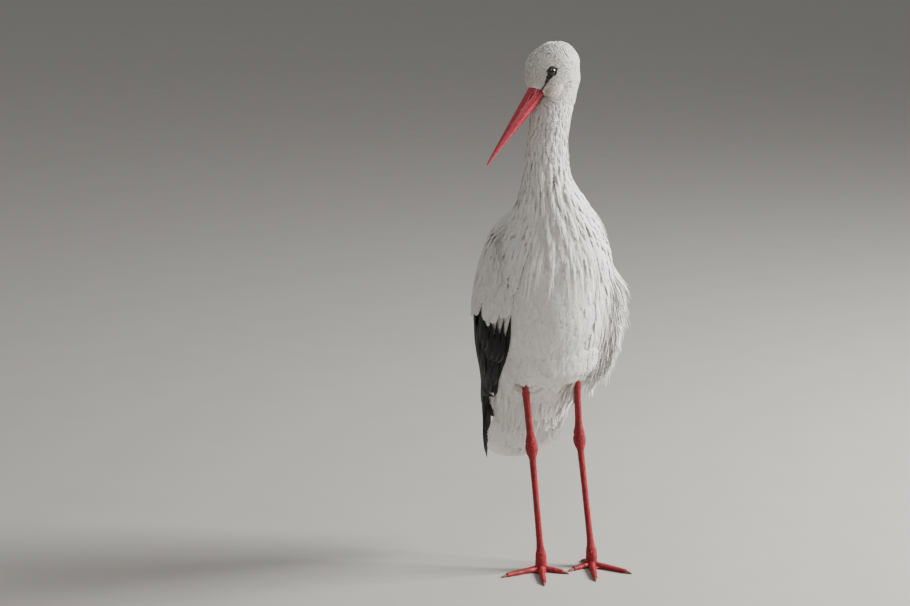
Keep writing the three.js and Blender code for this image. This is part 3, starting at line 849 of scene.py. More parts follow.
def black_plumage(name, looks):
    """Black flight feathers: a faint gloss, paler worn edges and a dark shiny shaft."""
    recipe = Recipe(name, 0.5, Specular_IOR_Level=0.22)
    across, along = recipe.vane()
    streaks = recipe.noise(60, 4, (1, 1, 0.12))
    base = recipe.blend(recipe.ramp(streaks, 0.35, 0.75), looks.flight, looks.flight_bloom)
    edge, age = recipe.ramp(across, 0.68, 0.95), recipe.ramp(recipe.attribute("shade"), 0.1, 0.8)
    worn = recipe.times(recipe.times(edge, age), recipe.ramp(along, 0.5, 0.8))
    recipe.colour(recipe.blend(worn, base, looks.flight_edge))
    recipe.bump(barbs_height(recipe, across, along, 90, 14), 0.0003, 0.5)
    return recipe.material


def down_skin(looks):
    """Skin under the coat, with the same markings: pale, pinkish and finely pimpled."""
    recipe = Recipe("skin under down", 0.8, Sheen_Weight=0.3)
    tone = recipe.ramp(recipe.noise(120, 4), 0.35, 0.65)
    base = recipe.blend(tone, looks.skin, looks.plumage_root)
    pink = recipe.times(recipe.attribute("blush"), BLUSH_DEPTH)
    recipe.colour(recipe.blend(pink, base, looks.blush))
    recipe.bump(recipe.cells(420, "F1"), 0.0008, 0.5)
    return recipe.material


def bill_horn(looks):
    """Red horn: paler on the ridge as a painted highlight and paler at the tip, deeper below, on the cutting
    edge and in the nostrils as painted shade, worn and streaky.
    """
    recipe = Recipe("bill horn", 0.36, Specular_IOR_Level=0.5, Coat_Weight=0.15, Coat_Roughness=0.3)
    along, up = recipe.attribute("bill_along"), recipe.attribute("bill_up")
    streaks = recipe.noise(220, 5)
    # Painted highlight: the top of the ridge is paler. The paler far half is the horn's own colour.
    ridge = recipe.times(recipe.ramp(up, 0.55, 1.0), 0.75)
    pale = recipe.math("MAXIMUM", ridge, recipe.times(recipe.ramp(along, 0.45, 1.0), 0.8), True)
    base = recipe.blend(pale, looks.bill, looks.bill_pale_and_highlight)
    # Painted shade: the lower side of the lower half is a deeper red.
    deep = recipe.times(recipe.ramp(up, -0.2, -0.75), 0.8)
    base = recipe.blend(deep, base, looks.bill_underside_shade)
    # Painted shade: near black along the gap between the closed halves.
    seam_shade = recipe.ramp(recipe.math("ABSOLUTE", up), 0.07, 0.0)
    base = recipe.blend(recipe.times(seam_shade, 0.7), base, looks.bill_gap_and_nostril_shade)
    base = recipe.blend(recipe.times(recipe.ramp(streaks, 0.5, 0.75), 0.3), base, looks.bill_pale_and_highlight)
    specks = recipe.ramp(recipe.noise(430, 2), 0.60, 0.68)
    base = recipe.blend(recipe.times(specks, 0.55), base, looks.bill_speck)
    # Painted shade: the nostril slits are near black.
    base = recipe.blend(recipe.attribute("nostril"), base, looks.bill_gap_and_nostril_shade)
    recipe.colour(base)
    recipe.bump(recipe.math("ADD", streaks, recipe.noise(900, 2)), 0.0003, 0.5)
    return recipe.material


def leg_hide(name, looks, tone):
    """Red leg skin, darker in the creases, with powdery pale wear."""
    recipe = Recipe(name, 0.5, Specular_IOR_Level=0.45)
    patchy = recipe.ramp(recipe.noise(140, 4), 0.3, 0.7)
    base = recipe.blend(patchy, looks.leg_deep, looks.leg)
    worn = recipe.times(recipe.ramp(recipe.noise(520, 3), 0.55, 0.75), tone)
    recipe.colour(recipe.blend(worn, base, looks.leg_pale))
    recipe.bump(recipe.cells(900), 0.0003, 0.6)
    return recipe.material


def wet_eye(looks):
    """Dark brown iris round a black pupil under a clear wet coat."""
    recipe = Recipe("wet eye", 0.15, Specular_IOR_Level=0.1, Coat_Weight=1.0, Coat_Roughness=0.02)
    ring = recipe.attribute("from_pupil")
    spokes = recipe.times(recipe.ramp(recipe.noise(1500, 3), 0.3, 0.7), 0.6)
    iris = recipe.blend(spokes, looks.iris, looks.iris_pale)
    base = recipe.blend(recipe.ramp(ring, 0.44, 0.5), looks.pupil, iris)
    recipe.colour(recipe.blend(recipe.ramp(ring, 0.86, 1.0), base, looks.pupil))
    return recipe.material


def bare_face(looks):
    """Wrinkled black skin of the lids and lore."""
    recipe = Recipe("bare face skin", 0.5, Specular_IOR_Level=0.4)
    tone = recipe.ramp(recipe.noise(700, 3), 0.35, 0.7)
    recipe.colour(recipe.blend(tone, looks.face, looks.face_pale))
    recipe.bump(recipe.cells(1600), 0.0003, 0.7)
    return recipe.material


def claw_horn(looks):
    """Worn brown horn of the claws, paler at the tip."""
    recipe = Recipe("claw horn", 0.45, Specular_IOR_Level=0.45)
    tone = recipe.ramp(recipe.noise(500, 4, (1, 1, 2)), 0.3, 0.7)
    recipe.colour(recipe.blend(tone, looks.claw, looks.claw_pale))
    recipe.bump(recipe.noise(1400, 2), 0.0002, 0.5)
    return recipe.material


def floor_paint(looks):
    """Plain matt paint with the faintest cloudiness."""
    recipe = Recipe("floor paint", 0.7)
    tone = recipe.ramp(recipe.noise(9, 4), 0.3, 0.7)
    worn = [part * 0.97 for part in looks.floor]
    recipe.colour(recipe.blend(tone, worn, looks.floor))
    return recipe.material


# ---- sheets under the flight feathers


def covert_edge(share):
    """Body station where the white coverts end, from the back (0) to the leading edge (1)."""
    return mix(11.8, 10.15, share ** 0.8) + lobes(share, 5, 0.3)


COVERT_SPLIT = 0.72  # share of the covert edge behind which the secondaries lie
TUCK = 0.3  # stations by which one patch starts under the edge of the next


class Patch:
    """Feathered sheet over the folded wing. `down` runs to the tips, `share` to the leading edge."""

    def __init__(self, side, start, end, back, front, swell):
        self.side, self.start, self.end = side, start, end
        self.back, self.front, self.swell = back, front, swell

    def place(self, down, share, height):
        t = mix(self.start(share), self.end(share), down)
        angle = np.radians(mix(self.back(down), self.front(down), share))
        return body_point(t, self.side * angle, height, roof=True)

    def paths(self, share, first, length, rows, low, high, drift):
        """Lines down the patch from `first`, rising from low to high of its swell."""
        scan = np.linspace(-0.4, 1.5, 60)
        grid = self.place(scan[None], share[:, None], np.zeros((1, 60)))
        arc = np.concatenate([np.zeros((len(share), 1)),
                              np.cumsum(np.linalg.norm(np.diff(grid, axis=1), axis=2), 1)], 1)
        steps = np.linspace(0, 1, rows)
        down = np.empty((len(share), rows))
        for n in range(len(share)):
            at = np.interp(first[n], scan, arc[n])
            down[n] = np.interp(at + steps * length[n], arc[n], scan)
        across = share[:, None] + drift[:, None] * steps
        edge = np.clip(across, 0.02, 0.98)
        lift = mix(np.reshape(low, (-1, 1)), np.reshape(high, (-1, 1)), smooth(steps, 0, 0.7))
        height = self.swell(np.clip(down, 0, 1.1), edge) * lift
        path = self.place(down, across, height)
        out = unit(self.place(down, across, height + 2) - path)
        return path, out


COVER_HEIGHT = {1: 6, -1: 13}  # swell of the left and right coverts, millimetres


def covert_patch(side):
    return Patch(
        side,
        lambda s: mix(7.3, 7.5, s) - 0.6 * rounded(np.clip(s, 0, 1)),
        lambda s: covert_edge(np.clip(s, 0, 1)),
        lambda d: mix(42, 1.5, smooth(d, 0, 0.75)),
        lambda d: mix(92, 119 if side > 0 else 125, smooth(d, 0, 0.8)),
        lambda d, s: 2.4 + COVER_HEIGHT[side] * rounded(s) ** 0.7 * smooth(d, -0.05, 0.3),
    )


def secondary_patch(side):
    return Patch(
        side,
        lambda s: covert_edge(np.clip(s, 0, 1) * COVERT_SPLIT) - TUCK,
        lambda s: mix(16.2, 15.9, s) + 0.2,
        lambda d: 1.5 + 0 * d,
        lambda d: mix(88, 58, smooth(d, 0, 1)),
        lambda d, s: mix(10, 4, np.clip(d, 0, 1)) * (0.35 + 0.65 * rounded(s)) + 1,
    )


# Wing-tip station, the leading edge's angle at its start and end, and where the last is reached.
# The last number is how far the tips stand off the tail.
TIPS = {-1: (17.5, 137, 80, 0.75, 9.0), 1: (16.9, 119, 68, 0.6, 0.0)}


def primary_patch(side):
    end, lead, edge, tucked, spread = TIPS[side]
    return Patch(
        side,
        lambda s: covert_edge(mix(COVERT_SPLIT, 1, np.clip(s, 0, 1))) - TUCK,
        lambda s: end + 0.5 * rounded(np.clip(s, 0, 1)),
        lambda d: mix(80, 54, smooth(d, 0, 1)),
        lambda d: mix(lead, edge, smooth(d, 0.06, tucked)),
        lambda d, s: (mix(7, 4, np.clip(d, 0, 1)) * (0.4 + 0.6 * rounded(s)) + 1
                      + spread * smooth(d, 0.4, 0.9) * s),
    )


def flank_edge(share):
    """Body station at which the left flank's plumes end, in rounded bunches."""
    slope = 12.1 - 0.5 * np.abs(share - 0.2) + 0.5 * smooth(share, 0.5, 0.85)
    return slope + lobes(np.clip(share, 0, 1), 4, 0.45)


def flank_patch():
    return Patch(
        1,
        lambda s: 9 + 0 * s,
        flank_edge,
        lambda d: mix(88, 78, d),
        lambda d: mix(130, 150, d),
        lambda d, s: (5 + (8 + 13 * d) * rounded(s) * smooth(d, 0, 0.2)) * smooth(-s, -1.0, -0.35),
    )


class TailFan:
    """The tail's sheet. `down` runs to the feather tips, `share` from the right side to the left."""

    flat = np.cross(X_AXIS, TAIL_WAY)

    def __init__(self, face):
        self.face = face

    def swell(self, down, share):
        return 0.6 + mix(15, 2.5, np.clip(down, 0, 1)) * rounded(share) * 0.9

    def place(self, down, share, height):
        x = 2 * share - 1
        half = mix(54, 59, smooth(down, 0, 0.9))
        tip = 0.95 - 0.26 * x * x - 0.1 * smooth(x, 0.3, 1)
        reach = TAIL_LENGTH * down * mix(1, tip, np.clip(down, 0, 1))
        sink = self.face * height - 10 * x * x * down
        return (TAIL_ROOT + TAIL_WAY * reach[..., None] + X_AXIS * (half * x)[..., None]
                + self.flat * sink[..., None])

    paths = Patch.paths


# ---- settings


def colour(name, description, value):
    return FloatVectorProperty(name=name, description=description, default=value, subtype="COLOR",
                               size=3, min=0, max=1)


class StorkLooks(bpy.types.PropertyGroup):
    """Colours of the bird and of the floor."""

    plumage: colour("Plumage", "White of the feather tips", (0.90, 0.885, 0.85))
    plumage_root: colour("Plumage root", "Shaded white at the feather roots", (0.82, 0.80, 0.76))
    # Colour of random stains, and of the painted shade over the ruffled brow.
    plumage_stain: colour("Plumage stain", "Warm grey that some feathers lean to", (0.80, 0.765, 0.70))
    blush: colour("Blush", "Pinkish skin that shows through on the cheek", (0.72, 0.47, 0.42))
    shaft: colour("Shaft", "Feather shafts", (0.86, 0.84, 0.78))
    skin: colour("Skin", "Skin under the coat", (0.62, 0.54, 0.48))
    flight: colour("Flight feathers", "Black of the wings", (0.006, 0.0055, 0.006))
    flight_bloom: colour("Flight bloom", "Grey bloom on the black feathers", (0.018, 0.016, 0.017))
    flight_edge: colour("Flight edge", "Worn pale edges of the black feathers", (0.26, 0.22, 0.19))
    bill: colour("Bill", "Red of the bill", (0.30, 0.004, 0.022))
    # Paler red of the tip and of the worn streaks, and the painted highlight along the ridge.
    bill_pale_and_highlight: colour("Bill ridge", "Ridge and tip of the bill", (0.46, 0.05, 0.075))
    bill_speck: colour("Bill specks", "Pale worn specks on the bill", (0.62, 0.22, 0.21))
    # Painted shade for the underside of the bill.
    bill_underside_shade: colour("Bill edge", "Deep red below", (0.20, 0.003, 0.010))
    # Painted shade for the gap between the halves and for the nostril slits.
    bill_gap_and_nostril_shade: colour("Bill seam", "Nostril and cutting edge", (0.07, 0.006, 0.008))
    leg: colour("Leg", "Red of the legs", (0.33, 0.006, 0.014))
    leg_deep: colour("Leg creases", "Deep red between scutes", (0.16, 0.003, 0.008))
    leg_pale: colour("Leg wear", "Powdery wear on the scutes", (0.58, 0.12, 0.10))
    iris: colour("Iris", "Dark iris", (0.010, 0.006, 0.007))
    iris_pale: colour("Iris spokes", "Paler spokes of the iris", (0.026, 0.015, 0.014))
    pupil: colour("Pupil", "Pupil and limbus", (0.002, 0.002, 0.003))
    face: colour("Bare face", "Black lids and lore", (0.010, 0.009, 0.010))
    face_pale: colour("Bare face wear", "Greyer skin on the wrinkles", (0.035, 0.030, 0.031))
    claw: colour("Claw", "Claw horn", (0.10, 0.035, 0.022))
    claw_pale: colour("Claw wear", "Worn claw horn", (0.26, 0.13, 0.085))
    floor: colour("Floor", "Studio floor", (0.39, 0.38, 0.365))


def number(name, description, value, least, unit="NONE"):
    return FloatProperty(name=name, description=description, default=value, min=least, unit=unit)


class StorkSizes(bpy.types.PropertyGroup):
    """Sizes of the feathers, in millimetres, and of the studio."""

    head_gap: number("Head gap", "Distance between head feathers, mm", 1.75, 1)
    neck_gap: number("Neck gap", "Distance between neck feathers, mm", 3.1, 1)
    trunk_gap: number("Trunk gap", "Distance between body feathers, mm", 6.2, 2)
    head_length: number("Head length", "Length of a crown feather, mm", 11, 3)
    neck_length: number("Neck length", "Length of a neck feather, mm", 30, 5)
    trunk_length: number("Trunk length", "Length of a body feather, mm", 50, 9)
    plume_length: number("Plume length", "Length of a breast plume, mm", 92, 20)
    seed: IntProperty(name="Seed", description="Seed of everything random", default=11)
    camera_distance: number("Camera distance", "Level distance of the camera", 4.2, 0, "LENGTH")
    camera_height: number("Camera height", "Height of the camera over the floor", 1.343, 0, "LENGTH")
    key_power: number("Key light", "Power of the key light in watts", 440, 0, "POWER")
    fill_power: number("Fill light", "Power of the fill light in watts", 22, 0, "POWER")


def looks():
    return bpy.context.scene.stork_looks


def sizes():
    return bpy.context.scene.stork_sizes


def random_for(offset):
    return np.random.default_rng(sizes().seed * 1000 + offset)


# ---- bill


def bill_section(share):
    taper = 1 - np.clip(share, 0, 1)
    return 1.2 + 12 * taper ** 0.85, 1.6 + 15 * taper ** 0.9, 1.2 + 14 * taper ** 1.1


BILL_BACK = -9.5  # how far the horn reaches back into the face
BILL_GAP = 0.15  # half of the gap between the closed halves
NOSTRIL = (22.0, 6.5, 0.60, 0.075, 1.5)  # forward, half-length, angle up the side, half-angle, depth
GROOVE = (0.5, 0.1, 0.16)  # angle up the side, half-angle and share of the nostril's depth


def bill_half(name, part, material):
    """Upper (+1) or lower (-1) half of the bill, with its nostrils and its flat inner side."""
    rows, arc, flat = 170, 72, 12
    forward = BILL_BACK + (BILL_LENGTH - BILL_BACK) * (1 - (1 - np.linspace(0, 1, rows)) ** 1.15)
    half, ridge, keel = (v[:, None] for v in bill_section(forward / BILL_LENGTH))
    reach = ridge if part > 0 else keel
    turn = np.linspace(0, math.pi, arc)[None]
    gable = 1 - 0.05 * np.sin(2 * turn) ** 2
    dent = np.zeros((rows, arc))
    if part > 0:
        middle, length, side, height, _ = NOSTRIL
        slot = np.exp(-((forward[:, None] - middle) / length) ** 4)
        for at in (side, math.pi - side):
            dent += slot * np.exp(-((turn - at) / height) ** 2)
        side, height, share = GROOVE
        for at in (side, math.pi - side):
            dent += share * np.exp(-((turn - at) / height) ** 2) * smooth(forward[:, None], 24, 40)
    depth = NOSTRIL[4] * dent
    off_edge = np.minimum(turn, math.pi - turn)
    lip = 0.35 * part * np.exp(-(off_edge / 0.12) ** 2) * smooth(-forward[:, None], -150, -90)
    across = (half + lip - depth) * np.cos(turn) * gable
    up = BILL_GAP + (reach - BILL_GAP - depth) * np.sin(turn) * gable
    inner = np.linspace(-1, 1, flat + 2)[1:-1][None]
    across = np.concatenate([across, half * inner * 0.98], 1)
    up = np.concatenate([up, BILL_GAP + 0.06 * reach * (1 - inner ** 2)], 1)
    rings = head_point(np.broadcast_to(forward[:, None], across.shape), across, part * up)
    item = make_object(name, *tube(rings), material)
    along = np.repeat(np.clip(forward / BILL_LENGTH, 0, 1), arc + flat)
    height = (part * up / reach).ravel()
    # Mask of the painted shade in the nostril slits, from the depth of the dent.
    nostril_shade_mask = np.concatenate([np.clip(dent * 1.3 - 0.2, 0, 1), np.zeros((rows, flat))], 1).ravel()
    set_point_attribute(item.data, "bill_along", np.append(along, [0, 1]))
    set_point_attribute(item.data, "bill_up", np.append(height, [0, 0]))
    set_point_attribute(item.data, "nostril", np.append(nostril_shade_mask, [0, 0]))
    return item


# ---- eyes and bare face skin

EYE_OPENING = (6.4, 5.5)  # half-width along the head and half-height of the lids' opening
EYE_PLANE = 6.0  # height over the eye's centre of the plane in which the bare skin is drawn
CORNEA = 1.035  # swell of the eyeball at its front
GAPE = (1.0, 13.5, 0.5)  # corner of the mouth, in the head's axes
LORE_STEPS = 14  # spots along the bare line from the eye to the mouth
LORE_RISE = 2.3  # height of that line over the skin, level with the coat


def eye_axes(side):
    """Centre of an eye, and its directions: out, towards the bill, towards the throat."""
    centre = head_point(EYE_AT[0], side * EYE_AT[1], EYE_AT[2])
    out = unit(HEAD_LEFT * side + BILL_WAY * 0.22 - CROWN * 0.12)
    ahead = sideways(BILL_WAY, out)
    return centre, out, ahead, np.cross(out, ahead) * side


DROP_TURN, REAR_TURN = math.radians(17), math.radians(162)  # ways in which the bare skin is drawn out


def drawn_out(turn, middle, width):
    """1 at one way round the eye, and 0 away from it."""
    off = (turn - middle + math.pi) % (2 * math.pi) - math.pi
    return np.exp(-(off / width) ** 2)


def bare_reach(turn):
    """Radius of the bare skin round the eye: a drop drawn out to the gape and a little behind."""
    return 7.4 + 10.0 * drawn_out(turn, DROP_TURN, 0.38) + 4.0 * drawn_out(turn, REAR_TURN, 0.2)


def eye_plane(points, side):
    """Radius and turn of each point round an eye, seen from outside, and height over its centre."""
    centre, out, ahead, down = eye_axes(side)
    rel = points - centre
    x, y = rel @ ahead, rel @ down
    return np.hypot(x, y), np.arctan2(y, x), rel @ out


def onto_skin(spot, out):
    """Spot and normal on the skin straight under a spot of the eye's plane."""
    tree = ground().tree
    found, normal, _, _ = tree.ray_cast((spot + out * 12).tolist(), (-out).tolist())
    if found is None:
        found, normal, _, _ = tree.find_nearest(spot.tolist())
    return np.array(found), np.array(normal)


def eyeball(name, side, material):
    centre, out, ahead, down = eye_axes(side)
    polar = np.linspace(0, math.pi, 34)[1:-1, None]
    turn = turns_of(48)[None]
    swell = 1 + (CORNEA - 1) * np.exp(-(polar / 0.5) ** 2)
    rings = centre + EYE_RADIUS * (
        out * (np.cos(polar) * swell)[..., None] + ahead * (np.sin(polar) * np.cos(turn))[..., None]
        + down * (np.sin(polar) * np.sin(turn))[..., None]
    )
    points, faces = tube(rings)
    points[-2:] = centre + out * EYE_RADIUS * CORNEA, centre - out * EYE_RADIUS
    item = make_object(name, points, faces, material)
    radius = np.append(np.repeat(np.sin(polar[:, 0]) + (polar[:, 0] > 1.57) * 2, 48), [0, 2])
    set_point_attribute(item.data, "from_pupil", radius * EYE_RADIUS / EYE_OPENING[0])
    return item


def lids(name, side, material):
    """Ring of bare skin from the lid's rim, over a soft fold, out under the feathers."""
    centre, out, ahead, down = eye_axes(side)
    turn = turns_of(72)
    wide, high = EYE_OPENING
    opening = wide * high / np.hypot(high * np.cos(turn), wide * np.sin(turn))
    opening = opening + 1.1 * drawn_out(turn, DROP_TURN, 0.3)
    reach = bare_reach(turn)
    spoke = ahead * np.cos(turn)[:, None] + down * np.sin(turn)[:, None]

    def on_ball(radius, rise):
        depth = np.sqrt(np.maximum((EYE_RADIUS + rise) ** 2 - radius ** 2, 1))
        return centre + out * depth[:, None] + spoke * radius[:, None]

    def on_skin(radius, rise):
        spots = centre + out * EYE_PLANE + spoke * radius[:, None]
        rises = np.broadcast_to(rise, len(spots))
        result = np.empty_like(spots)
        for n, spot in enumerate(spots):
            found, normal = onto_skin(spot, out)
            result[n] = found + normal * rises[n]
        return result

    rim = [on_ball(opening - 0.2, -0.6), on_ball(opening, 0.25), on_ball(opening + 0.4, 0.7),
           on_ball(opening + 0.9, 0.6), on_ball(opening + 1.2, 0.1)]
    outer = opening + 1.4
    skin_rings = []
    for share, rise in ((0.0, 1.9), (0.2, 2.1), (0.45, 1.5), (0.7, 1.3), (0.92, 0.8), (1.0, -0.8)):
        fold = 0.25 * np.sin(share * 14 + 3 * np.sin(turn * 3)) * (share < 0.95)
        skin_rings.append(on_skin(mix(outer, np.maximum(reach, outer + 0.2), share), rise + fold))
    skin_rings[0] = (rim[-1] + skin_rings[0]) / 2
    under = [on_skin(mix(outer, reach, 0.5), -2.0), on_ball(opening + 0.6, -1.6)]
    rings = np.array(rim + skin_rings + under)
    faces = [(a, d, c, b) if side > 0 else (b, c, d, a) for a, b, c, d in ring_quads(*rings.shape[:2], True)]
    return make_object(name, rings.reshape(-1, 3), faces, material)


def lore_path(side):
    """Spots and normals on the skin from the drop round the eye to the corner of the mouth."""
    base = ground()
    if side not in base.lores:
        centre, out, ahead, down = eye_axes(side)
        reach = bare_reach(np.array([DROP_TURN]))[0] - 3.5
        drop = ahead * math.cos(DROP_TURN) + down * math.sin(DROP_TURN)
        start = onto_skin(centre + out * EYE_PLANE + drop * reach, out)[0]
        end = head_point(GAPE[0] + 3, side * GAPE[1], GAPE[2])
        line = [start + (end - start) * share for share in np.linspace(0, 1, LORE_STEPS)]
        found = [base.tree.find_nearest(spot.tolist()) for spot in line]
        base.lores[side] = np.array([hit[0] for hit in found]), np.array([hit[1] for hit in found])
    return base.lores[side]


def lore_line(name, side, material):
    """Thin bare line from the drop of eye skin to the corner of the mouth."""
    spots, normals = lore_path(side)
    along = unit(np.gradient(spots, axis=0))
    wide = np.cross(along, normals)
    turn = turns_of(10)
    share = np.linspace(0, 1, LORE_STEPS)
    half = mix(3.6, 1.1, smooth(share, -0.1, 0.5)) + 0.7 * smooth(share, 0.8, 1)
    rings = (spots[:, None] + normals[:, None] * (LORE_RISE + 1.5 * np.sin(turn))[None, :, None]
             + wide[:, None] * (half[:, None] * np.cos(turn))[..., None])
    return make_object(name, *tube(rings), material)


def off_the_face(points, margin):
    """True where a head feather may lie: clear of the eyes, the lores and the bill."""
    free = np.ones(len(points), bool)
    for side in (1, -1):
        radius, turn, out = eye_plane(points, side)
        free &= ~((out > -4) & (radius < bare_reach(turn) - 0.5 + margin))
        off = np.linalg.norm(points[:, None] - lore_path(side)[0][None], axis=2).min(1)
        free &= off > 2.3 + margin
    forward, left, up = head_coordinates(points)
    half, ridge, keel = bill_section(forward / BILL_LENGTH)
    level = np.where(up > 0, up / ridge, -up / keel)
    in_bill = (forward > -9) & ((left / half) ** 2 + level ** 2 < 1.05)
    at_gape = (np.abs(up) < 6) & (forward > 0.5)
    return free & ~in_bill & ~at_gape


# ---- legs

# Share of the bone's length, half-width, half-depth.
TIBIA = [(-0.42, 7.5, 8), (0, 6.2, 7), (0.25, 5.4, 6.2), (0.6, 5.2, 6), (0.82, 5.8, 7), (0.93, 8.5, 10),
         (0.985, 9.6, 11)]
TARSUS = [(0, 9.8, 11.2), (0.035, 10.4, 11.6), (0.075, 9, 10), (0.11, 6.6, 7.4), (0.16, 5.2, 6),
          (0.5, 4.7, 5.6), (0.82, 5, 5.8), (0.92, 6.2, 6.4), (0.965, 8.4, 8), (1.03, 9.6, 9)]
# Height, half-length and half-width of the foot's middle.
HUB = [(FOOT_TOP + 1, 9.4, 8.8), (FOOT_TOP * 0.72, 10.2, 9.8), (FOOT_TOP * 0.42, 10, 10.2),
       (FOOT_TOP * 0.2, 9.4, 9.8), (0, 7.5, 8)]
TOE_START = 7.0  # how far from the middle of the foot a toe starts
ROW_PITCH, PLATE_WIDTH, TOE_PITCH = 3.9, 4.6, 3.6  # of the scutes, millimetres
SCUTE_SINK = 0.28  # how deep a scute sits in the skin
SKIN_CELL, LEG_CELL = 2.6, 0.95  # grain of the fused skins, millimetres


def smooth_stations(start, end, rows, count):
    table = np.array(leg_stations(start, end, rows), float)
    return read_stations(table, np.linspace(0, len(table) - 1, count))


def under_foot(leg):
    """Spot on the floor under the middle of a foot."""
    return np.array([*leg["foot"][:2], 0.0])


def toe_axes(turn):
    """Lengthwise and sideways directions of a toe on the floor."""
    angle = math.radians(turn)
    way = np.array([math.sin(angle), -math.cos(angle), 0.0])
    return way, np.array([-way[1], way[0], 0.0])


def toe_section(share):
    """Half-width and height of a toe along its length."""
    return mix(6.3, 3.9, share), mix(9.6, 6.4, share)


def toe_rings(root, turn, length):
    """Rings of a toe that lies flat on the floor, swollen at its pads."""
    way, wide = toe_axes(turn)
    share = np.linspace(0, 1, 22)
    pad = 1 + 0.09 * np.cos(2 * math.pi * share * 3.0)
    half, high = toe_section(share)
    half = half * pad * np.where(share > 0.96, 0.85, 1)
    high = high * (0.93 + 0.07 * pad)
    around = turns_of(16)
    lift = np.clip(0.42 + 0.58 * np.sin(around), 0, 1)
    centre = root + way * (TOE_START + (length - TOE_START) * share)[:, None]
    return (centre[:, None] + wide * (half[:, None] * np.cos(around))[..., None]
            + Z_AXIS * (high[:, None] * lift)[..., None])


def web_shape(root, turn_a, turn_b, reach):
    """Small web between the roots of two toes."""
    a, b = (root + toe_axes(turn)[0] * reach for turn in (turn_a, turn_b))
    notch = mix(root, (a + b) / 2, 0.78)
    flat = np.array([root, a, notch, b])
    return tube(np.array([flat + Z_AXIS * 0.5, flat + Z_AXIS * 4.5]))


def leg_shapes(leg):
    root = under_foot(leg)
    toes = leg["toes"]
    shapes = [
        tube(limb_rings(smooth_stations(leg["knee"], leg["ankle"], TIBIA, 40), 20)),
        tube(limb_rings(smooth_stations(leg["ankle"], leg["foot"], TARSUS, 56), 20)),
        tube(limb_rings([(root[0], root[1], z, a, b) for z, a, b in HUB], 20)),
        web_shape(root, toes["outer"], toes["middle"], 30),
        web_shape(root, toes["middle"], toes["inner"], 22),
    ]
    shapes += [tube(toe_rings(root, turn, TOE_LENGTHS[toe])) for toe, turn in toes.items()]
    return shapes


def leg_skin(name, leg, material):
    """Bare skin of one leg from inside the thigh to the toes, flat where it stands."""
    item = fused(name, leg_shapes(leg), LEG_CELL, 3)
    height = np.empty(len(item.data.vertices) * 3, np.float32)
    item.data.vertices.foreach_get("co", height)
    height = height.reshape(-1, 3)
    height[:, 2] = np.where(height[:, 2] < 0.8 * MM, 0, height[:, 2])
    item.data.vertices.foreach_set("co", height.ravel())
    item.data.update()
    item.data.materials.append(material)
    return item


def scute_places(leg, rng):
    """Centre, outward and lengthwise direction and size of every scute of a leg."""
    places = []
    for start, end, rows, first, last in ((leg["knee"], leg["ankle"], TIBIA, 0.16, 0.97),
                                          (leg["ankle"], leg["foot"], TARSUS, 0.0, 1.0)):
        table = np.array(leg_stations(start, end, rows), float)
        axis = unit(np.array(end, float) - np.array(start, float))
        wide = sideways(X_AXIS, axis)
        deep = np.cross(axis, wide)
        length = math.dist(start, end)
        count = int(length * (last - first) / ROW_PITCH)
        shares = np.array([r[0] for r in rows])
        for row in range(count):
            share = mix(first, last, (row + 0.5) / count)
            x, y, z, half, depth = (np.interp(share, shares, table[:, k]) for k in range(5))
            centre, girth = np.array([x, y, z]), 2 * math.pi * (half + depth) / 2
            around = max(7, int(girth / PLATE_WIDTH))
            for k in range(around):
                turn = 2 * math.pi * (k + 0.5 * (row % 2)) / around
                out = wide * math.cos(turn) + deep * math.sin(turn)
                spot = centre + wide * half * math.cos(turn) + deep * depth * math.sin(turn)
                across = girth / around
                places.append((spot, out, axis, (across * 0.56, 2.35, 0.75 + 0.3 * rng.random())))
    root = under_foot(leg)
    for toe, turn in leg["toes"].items():
        way, wide = toe_axes(turn)
        count = int((TOE_LENGTHS[toe] - TOE_START - 3) / TOE_PITCH)
        for k in range(count):
            share = (k + 0.6) / count
            half, high = toe_section(share)
            centre = root + way * (TOE_START + (TOE_LENGTHS[toe] - TOE_START) * share)
            for lean in (-1, 0, 1):
                out = unit(Z_AXIS + wide * 1.1 * lean)
                spot = centre + Z_AXIS * high * (0.97 - 0.25 * abs(lean)) + wide * half * 0.72 * lean
                wide_size = half * (0.62 if lean == 0 else 0.42)
                places.append((spot, out, way, (wide_size, 2.1, 0.8 + 0.2 * rng.random())))
    return places


